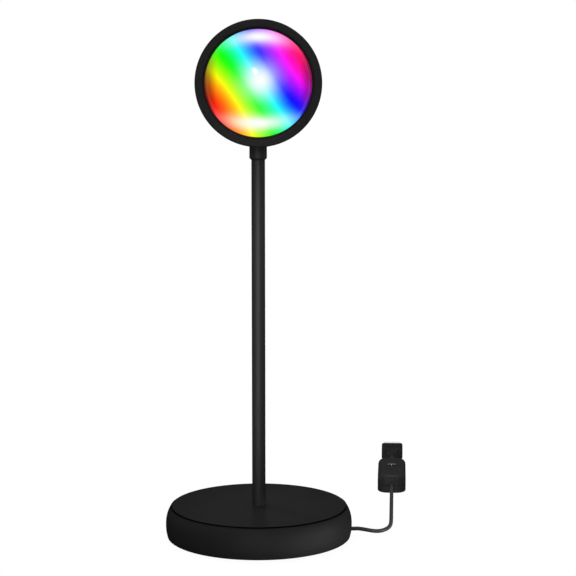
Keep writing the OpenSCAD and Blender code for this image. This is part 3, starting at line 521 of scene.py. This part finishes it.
# ---- Pole and collar ----
# A straight drawn steel tube of 8 mm, and on its top a turned collar with chamfered ends, in which the head turns.
# Both are sprayed with the same satin black as the base; the tube keeps a trace of its drawing lines.
pole_r = 4.0
pole_ends = (19.5, 228.9)
collar_r = 5.15
collar_ends = (226.1, 234.4)
pole = shape("pole", turned(rounded([
    (3.1, pole_ends[0], 0), (pole_r, pole_ends[0], 0), (pole_r, pole_ends[1], 0.2), (3.1, pole_ends[1], 0.1)]),
    steps=96))
collar = shape("collar", turned(rounded([
    (4.05, collar_ends[0], 0.1), (collar_r - 1, collar_ends[0], 0.15), (collar_r, collar_ends[0] + 1, 0.25),
    (collar_r, collar_ends[1], 0.4), (3.55, collar_ends[1], 0.15), (3.55, 232.45, 0), (2.45, 232.45, 0),
    (2.45, 230.95, 0), (4.05, 230.95, 0)]), steps=96))


def tube_recipe(paint):
    spot = paint.place()
    drawn = spot.node("ShaderNodeMapping", {"Vector": spot, "Scale": (1, 1, 0.02)}).grain(2600, 2)
    peel = spot.grain(800, 2)
    cloud = spot.grain(45, 3)
    return {"Base Color": (0.6 * cloud + 0.4 * drawn).mix((0.012, 0.012, 0.0122), (0.017, 0.017, 0.0172)),
            "Roughness": 0.42 + 0.14 * cloud, "Specular IOR Level": 0.0,
            "Coat Weight": paint.sheen(0.75 + 0.15 * drawn), "Coat Roughness": 0.61,
            "Normal": (0.7 * peel + 0.3 * drawn).relief(0.000008)}


satin_black_metal = finish("satin_black_metal", tube_recipe)
fit(pole, "base", "satin_black_metal", satin_black_metal, "pole_tube")
fit(collar, "base", "satin_black_metal", satin_black_metal, "pole_collar")

# ---- Swivel ----
# The neck is turned and milled from one bar: a spigot in the collar, a stem, and a flat tongue between the head's
# ears. A spring clip under a nylon washer keeps the spigot in, and nylon washers ease the tongue.


def refined(node, name, edge, sharp=32):
    """A copy of a CAD node with its triangles merged and its edges eased by so many millimetres."""
    thing = bpy.data.objects.new(name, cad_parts[node].data.copy())
    bpy.context.collection.objects.link(thing)
    work = bmesh.new()
    work.from_mesh(thing.data)
    bmesh.ops.remove_doubles(work, verts=work.verts, dist=2e-6)
    bmesh.ops.dissolve_limit(work, angle_limit=math.radians(0.4), verts=work.verts, edges=work.edges)
    work.to_mesh(thing.data)
    work.free()
    if edge:
        ease = thing.modifiers.new("ease", "BEVEL")
        ease.width, ease.segments, ease.limit_method = edge * mm, 2, "ANGLE"
        ease.angle_limit = math.radians(38)
        ease.use_clamp_overlap = True
        settle(thing)
    shade(thing.data, sharp)
    return thing


def nylon_recipe(paint):
    wax = paint.place().grain(900, 3)
    return {"Base Color": wax.mix((0.62, 0.59, 0.52), (0.74, 0.71, 0.64)), "Roughness": 0.42 + 0.15 * wax,
            "Subsurface Weight": 0.1, "Normal": wax.relief(0.00001)}


fit(refined("neck_stem", "neck", 0.18), "neck", "satin_black_metal", satin_black_metal, "neck_stem")
dress(zinc_screw, "swivel_clip", "pivot_screw", "pivot_nut")
dress(finish("nylon", nylon_recipe), "swivel_washer", "pivot_washers")

# ---- Head ----
# The head is a cast aluminium drum with a rounded back, slotted for the neck, with two ears and five posts inside.
# A turned ring screws over its rim and holds the lens. Both are anodised black with a fine matt skin.
head_height = 271.6
head_axis = Matrix.Translation((0, 0, head_height)) @ Matrix.Rotation(math.radians(90), 4, "X")
ring = shape("lens_ring", turned(rounded([
    (30.2, 31.8, 0.12), (31.82, 33.6, 0.35), (36.05, 33.6, 0.8), (36.05, 24, 0.45), (34.5, 24, 0.1),
    (34.5, 31.8, 0)], step=10), head_axis, steps=160))


def anodised_recipe(paint):
    spot = paint.place()
    skin, cloud = spot.grain(2300, 2), spot.grain(55, 3)
    return {"Base Color": (0.5 * skin + 0.5 * cloud).mix((0.012, 0.012, 0.0123), (0.018, 0.018, 0.0183)),
            "Roughness": 0.5 + 0.12 * cloud, "Specular IOR Level": 0.0,
            "Coat Weight": paint.sheen(0.22 + 0.08 * cloud), "Coat Roughness": 0.6, "Normal": skin.relief(0.000008)}


black_aluminium = finish("black_aluminium", anodised_recipe)
fit(refined("head_housing", "drum", 0.25), "head", "black_aluminium", black_aluminium, "head_housing")
fit(ring, "head", "black_aluminium", black_aluminium, "front_ring")

# ---- Lens and light ----
# A clear moulded acrylic lens, domed in front, sits on a rubber gasket. Behind it stands the coated glass disc that
# splits the white LED's light into a wheel of colours round a bright white centre; it shows lit, as in use. Its glow
# also carries painted reflections of the dome, two pale bands near the top and bottom and a paler arc near the rim,
# and painted shade that darkens both sides.
bore_r = 30.2
lens_r, dome_rise, dome_front = 30.1, 7, 38.8
dome_r = (lens_r ** 2 + dome_rise ** 2) / (2 * dome_rise)
dome_sweep = math.degrees(math.asin(lens_r / dome_r))
lens = shape("clear_dome", turned(
    [(0, 30.4), (34.05, 30.4), (34.1, 30.5), (34.1, 31.7), (34.05, 31.8), (30.15, 31.8)]
    + arc(0, dome_front - dome_r, dome_r, 90 - dome_sweep, 90, 26), head_axis, steps=128), sharp=24)


def lens_recipe(paint):
    ripple = paint.place().grain(90, 2)
    return {"Base Color": (1.0, 1.0, 1.0), "Roughness": 0.01 + 0.02 * ripple, "IOR": 1.16,
            "Transmission Weight": 1.0, "Normal": ripple.relief(0.000004)}


def wheel_recipe(paint):
    across, _, up = paint.place(centre=(0, 0, head_height * mm), stretch=(1 / (bore_r * mm),) * 3).split()
    reach = across * across + up * up
    hue = (170.5 + (186 * across + 124 * up) * (1 - 0.23 * reach)) / 360
    spot = -((across - 0.03) ** 2 + (up - 0.06) ** 2) / 0.39 ** 2
    # Painted reflections: two pale bands near the top and bottom of the disc, where the dome would reflect the light.
    painted_top_reflection = -((up - 0.86 + 0.25 * across * across) / 0.17) ** 2 - (across / 0.62) ** 2
    painted_bottom_reflection = -((up + 0.74 - 0.15 * across * across) / 0.173) ** 2 - (across / 0.7) ** 2
    colour_left = 1.0
    for glow in (spot, painted_top_reflection, painted_bottom_reflection):
        colour_left = (1 - glow.math("EXPONENT", glow)) * colour_left
    # Painted shade: the glow's brightness falls by half towards the left and right sides.
    painted_side_shade = 1 - 0.5 * across.math("ABSOLUTE", across).step(0.74, 1.04)
    # Painted highlight: a paler narrow arc near the rim, at the left and right, where the dome's rim would shine.
    edge = (-((reach ** 0.5 - 0.955) / 0.02) ** 2)
    edge = edge.math("EXPONENT", edge) * across.math("ABSOLUTE", up).step(0.75, 0.35)
    shown = paint.node("ShaderNodeCombineColor", {0: hue, 1: colour_left * (1 - 0.25 * edge), 2: painted_side_shade}, mode="HSV")
    light = paint.node("ShaderNodeGamma", {"Color": shown, "Gamma": 2.2})
    coating = paint.place().grain(1200, 2)
    return {"Base Color": (0.002, 0.002, 0.002), "Roughness": 0.3 + 0.1 * coating, "Emission Color": light,
            "Emission Strength": 1.0, "Specular IOR Level": 0.0}


def condenser_recipe(paint):
    ripple = paint.place().grain(300, 2)
    return {"Base Color": (0.98, 0.99, 1.0), "Roughness": 0.02 + 0.04 * ripple, "IOR": 1.49,
            "Transmission Weight": 1.0, "Normal": ripple.relief(0.00001)}


def board_recipe(colours):
    def recipe(paint):
        spot = paint.place()
        weave = spot.node("ShaderNodeTexBrick", {"Vector": spot.node(
            "ShaderNodeMapping", {"Vector": spot, "Rotation": (math.radians(90), 0, 0)}), "Scale": 900,
            "Mortar Size": 0.1}, out="Fac")
        mask = spot.grain(500, 3)
        return {"Base Color": (0.3 * weave + 0.7 * mask).mix(*colours), "Roughness": 0.32 + 0.2 * mask,
                "Normal": weave.relief(0.00001)}
    return recipe


def phosphor_recipe(paint):
    grains = paint.place().grain(5200, 3)
    return {"Base Color": grains.mix((0.85, 0.66, 0.12), (0.95, 0.8, 0.25)), "Roughness": 0.5 + 0.2 * grains,
            "Emission Color": grains.mix((1.0, 0.86, 0.55), (1.0, 0.93, 0.75)), "Emission Strength": 2.0,
            "Normal": grains.relief(0.00001)}


def bare_recipe(paint):
    spot = paint.place()
    brushed = spot.node("ShaderNodeMapping", {"Vector": spot, "Scale": (1, 0.03, 1)}).grain(2400, 3)
    return {"Base Color": brushed.mix((0.66, 0.67, 0.68), (0.8, 0.81, 0.82)), "Metallic": 1.0,
            "Roughness": 0.3 + 0.22 * brushed, "Normal": brushed.relief(0.000012)}


def parts_recipe(paint):
    spot = paint.place()
    patch = spot.node("ShaderNodeTexVoronoi", {"Vector": spot, "Scale": 95}, out="Color").split()[0]
    fine = spot.grain(1500, 2)
    colour = paint.node("ShaderNodeValToRGB", {"Fac": patch}, stops=[
        (0.0, (0.012, 0.012, 0.013)), (0.45, (0.02, 0.02, 0.022)), (0.5, (0.32, 0.3, 0.27)), (1.0, (0.42, 0.4, 0.36))])
    return {"Base Color": colour, "Roughness": 0.35 + 0.25 * fine, "Normal": fine.relief(0.00001)}


fit(lens, "head", "lens_glass", finish("lens_glass", lens_recipe), "dome_lens")
dress(finish("filter_glass", wheel_recipe), "colour_filter")
dress(finish("clear_plastic", condenser_recipe), "condenser_lens")
dress(finish("white_board", board_recipe([(0.74, 0.74, 0.72), (0.86, 0.86, 0.85)])), "led_board")
dress(finish("led_phosphor", phosphor_recipe), "led_chip")
dress(finish("bare_aluminium", bare_recipe), "heat_sink")
dress(finish("green_board", board_recipe([(0.012, 0.075, 0.03), (0.02, 0.13, 0.055)])), "driver_board")
dress(finish("driver_parts", parts_recipe), "driver_parts")
dress(black_rubber, "lens_gasket")
dress(black_plastic, "lens_tube")
dress(zinc_screw, "sink_screws", "driver_screws")

# ---- Switch on the lead ----
# An oblong push switch in two moulded halves with a fine joint between them, screwed together from below. The top is
# softly domed at its edges, and a glossy round button with a dished top stands in a low rim at its middle.
lead_turn = -math.atan(0.08)
switch_place = Matrix.Translation((87.6, 102, 0)) @ Matrix.Rotation(lead_turn, 4, "Z")
switch_w, switch_l, switch_h = 18.4, 54.0, 12.0
switch_joint = 5.0
corner_r, top_edge_r, low_edge_r = 6.3, 3.6, 1.2
corner_steps = 12


def oblong(z, inset, corner=None):
    """A ring of points round the switch at a height, so far in from its widest outline."""
    radius = corner_r - 0.7 * inset if corner is None else corner
    half_w, half_l = switch_w / 2 - inset, switch_l / 2 - inset
    ring_points = []
    for quarter, (sx, sy) in enumerate(((1, 1), (-1, 1), (-1, -1), (1, -1))):
        for k in range(corner_steps):
            a = math.radians(90 * quarter + 90 * k / (corner_steps - 1))
            ring_points.append((sx * (half_w - radius) + radius * math.cos(a),
                                switch_l / 2 + sy * (half_l - radius) + radius * math.sin(a), z))
    return ring_points


def round_hole(z, radius):
    """A ring of as many points round the button."""
    angles = [math.radians(90 * quarter + 90 * (k + 0.5) / corner_steps)
              for quarter in range(4) for k in range(corner_steps)]
    return [(radius * math.cos(a), switch_l / 2 + radius * math.sin(a), z) for a in angles]


def between(first, second, share):
    return [tuple(a + (b - a) * share for a, b in zip(p, q)) for p, q in zip(first, second)]


top_edge = [oblong(switch_h - top_edge_r + top_edge_r * math.sin(math.radians(a)),
                   top_edge_r * (1 - math.cos(math.radians(a)))) for a in range(0, 91, 9)]
crown = round_hole(switch_h, 5.55)
switch_top = shape("switch_top", lofted(
    [oblong(switch_joint + 0.02, 0.14), oblong(switch_joint + 0.18, 0)] + top_edge
    + [between(top_edge[-1], crown, 0.5), crown, round_hole(switch_h + 0.36, 5.2), round_hole(12.47, 5.08),
       round_hole(12.5, 4.9), round_hole(12.5, 3.6), round_hole(12.42, 3.4), round_hole(12.3, 3.3),
       round_hole(10.4, 3.3), oblong(10.4, 2.8, 4.7), oblong(switch_joint + 0.02, 2.2, 4.7)],
    switch_place, round_again=True), sharp=40)
switch_bottom = shape("switch_bottom", lofted(
    [oblong(switch_joint - 0.02, 0.14), oblong(switch_joint - 0.18, 0)]
    + [oblong(low_edge_r - low_edge_r * math.sin(math.radians(a)), low_edge_r * (1 - math.cos(math.radians(a))))
       for a in range(0, 91, 15)],
    switch_place), sharp=40)
lead_way = [shape(f"lead_way_{k}", turned(
    [(0, -2), (1.35, -2), (1.35, 58), (0, 58)],
    switch_place @ Matrix.Translation((0, 0, 5)) @ Matrix.Rotation(math.radians(-90), 4, "X"), steps=40))
    for k in range(2)]
hollow = shape("hollow", lofted([oblong(1.6, 2.8, 4.7), oblong(switch_joint + 1, 2.8, 4.7)], switch_place))
screw_wells = []
for k, (x, y) in enumerate(((5.2, 9.5), (-5.2, switch_l - 9.5))):
    screw_wells.append(shape(f"screw_well_{k}", turned(
        [(0, -1), (2, -1), (2, 1.6), (0.95, 1.6), (0.95, 7), (0, 7)],
        switch_place @ Matrix.Translation((x, y, 0)), steps=40)))
carve(switch_top, lead_way[0], sharp=40)
carve(switch_bottom, hollow, lead_way[1], *screw_wells, sharp=40)
button = shape("button", turned([
    (0, 4.4), (1.2, 4.4), (1.2, 9.3), (4.2, 9.3), (4.2, 10.2), (4.1, 10.3), (3, 10.3), (3, 12.75), (2.95, 12.95),
    (2.82, 13.1), (2.6, 13.18), (2.4, 13.18), (1.8, 13.0), (1.0, 12.88), (0, 12.85)],
    switch_place @ Matrix.Translation((0, switch_l / 2, 0)), steps=72), sharp=50)


def switch_recipe(paint):
    spot = paint.place()
    spark, flow = spot.grain(2600, 2), spot.grain(70, 2)
    return {"Base Color": (0.4 * spark + 0.6 * flow).mix((0.014, 0.014, 0.0145), (0.024, 0.024, 0.0245)),
            "Roughness": 0.4 + 0.12 * spark, "Specular IOR Level": 0.0,
            "Coat Weight": paint.sheen(0.5 + 0.1 * flow), "Coat Roughness": 0.5, "Normal": spark.relief(0.00001)}


def button_recipe(paint):
    spot = paint.place()
    swirl = spot.grain(500, 2)
    return {"Base Color": swirl.mix((0.007, 0.007, 0.0075), (0.013, 0.013, 0.0135)), "Roughness": 0.24 + 0.08 * swirl,
            "Specular IOR Level": 0.0, "Coat Weight": paint.sheen(1.0, 0.8), "Coat Roughness": 0.12,
            "Normal": swirl.relief(0.000005)}


def spring_recipe(paint):
    spot = paint.place()
    drawn = spot.grain(3000, 2)
    return {"Base Color": drawn.mix((0.42, 0.43, 0.45), (0.6, 0.6, 0.62)), "Metallic": 1.0,
            "Roughness": 0.22 + 0.2 * drawn, "Normal": drawn.relief(0.000006)}


def contact_recipe(paint):
    spot = paint.place()
    stain = spot.grain(260, 3)
    return {"Base Color": stain.mix((0.82, 0.62, 0.3), (0.6, 0.42, 0.2)), "Metallic": 1.0,
            "Roughness": 0.25 + 0.25 * stain, "Normal": stain.relief(0.000006)}


switch_plastic = finish("switch_plastic", switch_recipe)
fit(switch_top, "base", "switch_plastic", switch_plastic, "switch_case_top")
fit(switch_bottom, "base", "switch_plastic", switch_plastic, "switch_case_bottom")
fit(button, "button", "gloss_button", finish("gloss_button", button_recipe), "switch_button")


def coil(grower, size):
    line = grower.node("GeometryNodeCurveSpiral", {
        "Resolution": 40, "Rotations": size["turns"], "Start Radius": size["coil_radius"],
        "End Radius": size["coil_radius"], "Height": size["rise"]})
    around = grower.node("GeometryNodeCurvePrimitiveCircle", {"Resolution": 12, "Radius": size["wire_radius"]})
    return grower.node("GeometryNodeCurveToMesh", {"Curve": line, "Profile Curve": around, "Fill Caps": True})


spring_steel = finish("spring_steel", spring_recipe)
spring_start, spring_wire, spring_pressed = 0.0029, 0.00025, 0.77
spring = grown("spring", coil, turns=5.0, coil_radius=0.0019, wire_radius=spring_wire, rise=0.0061,
               material=spring_steel)
spring.data.transform(Matrix.Translation((0, 0, spring_start)))
spring.data.transform(switch_place.to_3x3().to_4x4())
spring.data.transform(Matrix.Translation(switch_place @ Vector((0, switch_l / 2, 0)) * mm))
shade(spring.data)
fit(spring, "base", "spring_steel", spring_steel, "switch_spring")
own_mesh(spring)
dress(finish("brass_contact", contact_recipe), "switch_contacts")
dress(zinc_screw, "switch_screws")

# ---- Plug ----
# A flat power plug. The black moulded grip has a waist, a shoulder and a shallow panel, and runs into a short ribbed
# sleeve on the lead. The end is a folded nickel-plated shell with two windows over a white tongue.
plug_place = Matrix.Translation((94.4, 187, 4)) @ Matrix.Rotation(lead_turn, 4, "Z")
along_plug = plug_place @ Matrix.Rotation(math.radians(-90), 4, "X")
sleeve_l, sleeve_slim, sleeve_wide = 5.1, 2.55, 2.9
shell_w, shell_h, shell_t = 12.0, 4.5, 0.3
grip_front, shell_front = 29.4, 41.1
cross_steps = 8


def slice_of(y, width, height, corner):
    """A ring of points across the plug, at y along it."""
    half_w, half_h = width / 2 - corner, height / 2 - corner
    ring_points = []
    for quarter, (sx, sz) in enumerate(((1, 1), (-1, 1), (-1, -1), (1, -1))):
        for k in range(cross_steps):
            a = math.radians(90 * quarter + 90 * k / (cross_steps - 1))
            ring_points.append((sx * half_w + corner * math.cos(a), y, sz * half_h + corner * math.sin(a)))
    return ring_points


grip = shape("plug_body", lofted([
    slice_of(5.1, 7.4, 5.6, 1.4), slice_of(5.3, 7.95, 6.15, 1.55), slice_of(5.6, 8.2, 6.4, 1.6),
    slice_of(9.2, 8.2, 6.4, 1.5), slice_of(9.6, 8.35, 6.43, 1.45), slice_of(9.9, 8.9, 6.55, 1.4),
    slice_of(11.6, 13.7, 7.75, 1.4), slice_of(11.9, 14.35, 7.93, 1.4), slice_of(12.3, 14.7, 8, 1.4),
    slice_of(28.6, 14.7, 8, 1.4), slice_of(29.05, 14.45, 7.75, 1.3), slice_of(29.3, 14.0, 7.3, 1.1),
    slice_of(grip_front, 13.5, 6.8, 0.9)], plug_place), sharp=50)
panel = shape("panel", lofted([
    [(x, y + 20.7, 3.7 + z) for x, y, z in (
        (px * w, py * w, 0.1 * (k == 1) + 0.9 * (k == 2)) for px, py in rounded(
            [(4.2, 5.7, 0.8), (-4.2, 5.7, 0.8), (-4.2, -5.7, 0.8), (4.2, -5.7, 0.8)]))]
    for k, w in enumerate((0.97, 1.0, 1.03))], plug_place))
pocket = shape("pocket", lofted([slice_of(25.4, 12.1, 4.6, 0.6), slice_of(31, 12.1, 4.6, 0.6)], plug_place))
carve(grip, panel, pocket, sharp=40)
sleeve_rib = (sleeve_wide - sleeve_slim) / 3.5
pitch = sleeve_l / 3.5
sleeve = shape("plug_relief", turned(rounded(
    [(0, 0, 0), (sleeve_slim, 0, 0.15)]
    + [(sleeve_slim + sleeve_rib * (i + s) - cut, pitch * (i + s), 0.08) for i in range(3)
       for s, cut in ((0.5, 0), (0.6, 0.45), (1.0, 0.45), (1.1, 0))]
    + [(sleeve_wide, sleeve_l, 0), (0, sleeve_l, 0)]), along_plug, steps=64), sharp=40)
shell_out = [slice_of(y, shell_w - 2 * i, shell_h - 2 * i, 0.6) for y, i in (
    (25.5, 0), (shell_front - 0.12, 0), (shell_front, 0.1))]
shell_in = [slice_of(y, shell_w - 2 * shell_t + 2 * i, shell_h - 2 * shell_t + 2 * i, 0.36) for y, i in (
    (shell_front, 0.08), (shell_front - 0.35, 0), (25.5, 0))]
metal_end = shape("plug_end", lofted(shell_out + shell_in, plug_place, round_again=True), sharp=30)
windows = [shape(f"window_{k}", lofted([
    [(side * 2.05 + px, 35.3 + py, z) for px, py in rounded(
        [(1.35, 1, 0.15), (-1.35, 1, 0.15), (-1.35, -1, 0.15), (1.35, -1, 0.15)])]
    for z in (-4, 4)], plug_place)) for k, side in enumerate((-1, 1))]
fold = [(0, 30.4), (0, 31.4), (-0.7, 31.1), (-0.7, 33.3), (0, 33), (0, 37.6), (-0.7, 37.3), (-0.7, 39.5),
        (0, 39.2), (0, 42)]
seam_half = 0.07
seam_cut = []
for a, b in zip(fold, fold[1:]):
    way = Vector((b[0] - a[0], b[1] - a[1]))
    off = Vector((-way.y, way.x)).normalized() * seam_half
    reach = way.normalized() * seam_half
    low, high = Vector(a) - reach, Vector(b) + reach
    seam_cut.append(shape("seam_cut", lofted([[(p.x, p.y, z) for p in (low + off, low - off, high - off, high + off)]
                                              for z in (2.12, 2.6)], plug_place)))
carve(metal_end, *windows, *seam_cut, sharp=30)


def moulding_recipe(paint):
    spot = paint.place()
    spark, flow = spot.grain(1900, 2), spot.grain(150, 2)
    return {"Base Color": (0.4 * spark + 0.6 * flow).mix((0.011, 0.011, 0.011), (0.017, 0.017, 0.017)),
            "Roughness": 0.5 + 0.16 * spark, "Specular IOR Level": 0.0,
            "Coat Weight": paint.sheen(0.4 + 0.1 * flow), "Coat Roughness": 0.5, "Normal": spark.relief(0.00002)}


def nickel_recipe(paint):
    spot = paint.place(turn=(0, 0, -lead_turn))
    brushed = spot.node("ShaderNodeMapping", {"Vector": spot, "Scale": (1, 0.05, 1)}).grain(2600, 3)
    cloud = spot.grain(220, 2)
    return {"Base Color": cloud.mix((0.68, 0.67, 0.65), (0.8, 0.79, 0.77)), "Metallic": 1.0,
            "Roughness": 0.2 + 0.16 * brushed, "Normal": brushed.relief(0.000006)}


def insulator_recipe(paint):
    spot = paint.place()
    flow, fine = spot.grain(200, 2), spot.grain(2400, 2)
    return {"Base Color": flow.mix((0.78, 0.77, 0.74), (0.86, 0.86, 0.84)), "Roughness": 0.36 + 0.15 * fine,
            "Normal": fine.relief(0.000008)}


def gold_recipe(paint):
    spot = paint.place()
    wipe = spot.node("ShaderNodeMapping", {"Vector": spot, "Scale": (1, 0.08, 1)}).grain(2600, 2)
    return {"Base Color": wipe.mix((0.9, 0.66, 0.26), (0.96, 0.78, 0.4)), "Metallic": 1.0,
            "Roughness": 0.18 + 0.16 * wipe, "Normal": wipe.relief(0.000004)}


plug_moulding = finish("plug_moulding", moulding_recipe)
fit(grip, "base", "plug_moulding", plug_moulding, "plug_grip")
fit(sleeve, "base", "plug_moulding", plug_moulding, "plug_sleeve")
fit(metal_end, "base", "nickel_shell", finish("nickel_shell", nickel_recipe), "plug_shell")
dress(finish("white_insulator", insulator_recipe), "plug_tongue")
dress(finish("gold_contact", gold_recipe), "plug_contacts")

# ---- Table, light and surroundings ----
# The lamp stands on a plain pale table in a white room, in an even light from all round. Narrow lamps add to it: two
# in front for the pole and the ring, three above for the base's top and the lead, two behind for the head, and three
# low ones for the base's side.


def rays(tree):
    """How far a ray is the camera's or goes through glass, and how far it is a reflection."""
    path = tree.nodes.new("ShaderNodeLightPath")
    camera_ray, glossy_ray, through = (Socket(tree, path.outputs["Is %s Ray" % kind])
                                       for kind in ("Camera", "Glossy", "Transmission"))
    return camera_ray.math("MAXIMUM", camera_ray, through), glossy_ray


table_r, table_drop = 2500, 0.05
table_skin = bpy.data.materials.new("pale_table")
table_skin.use_nodes = True
table_skin.node_tree.nodes.clear()
cloth = Socket(table_skin.node_tree)
x, y, _ = cloth.place().split()
seen, mirrored = rays(cloth.tree)
whiteness = seen.math("MAXIMUM", seen, mirrored * y.step(-0.1, 0.25))
diffuse = cloth.node("ShaderNodeBsdfDiffuse", {"Color": (0.06, 0.06, 0.06)})
glow = cloth.node("ShaderNodeEmission", {"Color": (1.0, 1.0, 1.0), "Strength": whiteness * 0.95})
white = cloth.node("ShaderNodeEmission", {"Color": (1.0, 1.0, 1.0), "Strength": 1.0})
cloth.node("ShaderNodeOutputMaterial", {"Surface": cloth.node("ShaderNodeMixShader", {
    0: ((x * x + y * y) ** 0.5).step(0.07, 0.24) * whiteness,
    1: cloth.node("ShaderNodeAddShader", {0: diffuse, 1: glow}), 2: white})})
table = shape("table", ([(table_r * math.cos(math.radians(a)), table_r * math.sin(math.radians(a)), -table_drop)
                         for a in range(0, 360, 5)], [tuple(range(72))]))
table.data.materials.append(table_skin)


def lamp(name, place, aim, power, size, soft, flat=1.0):
    """A spot lamp aimed at a point, its cone so many degrees wide and squeezed in height by flat."""
    light = bpy.data.lights.new(name, "SPOT")
    light.energy = power
    light.spot_size = math.radians(size)
    light.spot_blend = 1.0
    light.shadow_soft_size = soft
    thing = bpy.data.objects.new(name, light)
    thing.location = place
    thing.rotation_euler = (Vector(aim) - Vector(place)).to_track_quat("-Z", "Y").to_euler()
    thing.scale = (1, flat, 1)
    bpy.context.collection.objects.link(thing)


for name, place, aim, power, size, soft in (
        ("pole_spot", (-0.21, -1.28, 0.30), (0, 0, 0.126), 52, 11, 0.02),
        ("head_spot", (-0.1, -1.5, 0.55), (0, -0.03, 0.276), 80, 5.4, 0.1),
        ("top_rear_spot", (0, 0.5, 1.3), (0, 0, 0.02), 34, 5.2, 0.03),
        ("top_left_spot", (-0.4, 0.45, 1.25), (-0.006, 0, 0.02), 26, 5.2, 0.06),
        ("lead_spot", (0.1, 0.1, 1.25), (0.1, 0.11, 0), 20, 14, 0.06),
        ("head_right_spot", (1.25, 0.6, 0.6), (0, 0.015, 0.272), 150, 5.5, 0.15),
        ("head_left_spot", (-0.9, 1.1, 0.75), (0, 0.015, 0.272), 150, 5.5, 0.15)):
    lamp(name, place, aim, power, size, soft)
for name, place, aim, power in (("right_low_spot", (1.15, 0.1, 0.012), (0.045, -0.01, 0.003), 46),
                                ("right_front_spot", (1.0, -0.65, 0.04), (0.04, -0.03, 0.001), 20),
                                ("front_low_spot", (-0.1, -1.5, 0.05), (0, -0.03, 0.003), 11)):
    lamp(name, place, aim, power, 9, 0.012, flat=0.2)
world = bpy.data.worlds.new("white_room")
world.use_nodes = True
world.node_tree.nodes.clear()
bpy.context.scene.world = world
ambient = 0.85
gloss = 0.03
sky = Socket(world.node_tree)
seen, mirrored = rays(sky.tree)
behind = sky.node("ShaderNodeTexCoord", out="Generated").split()[1].step(0.3, 0.62)
whiteness = seen.math("MAXIMUM", seen, mirrored * (gloss + (1 - gloss) * behind))
room = sky.node("ShaderNodeBackground", {
    "Color": (1.0, 1.0, 1.0), "Strength": whiteness + (1 - seen) * (1 - mirrored) * ambient})
sky.node("ShaderNodeOutputWorld", {"Surface": room})

bpy.context.scene.view_settings.view_transform = "Standard"
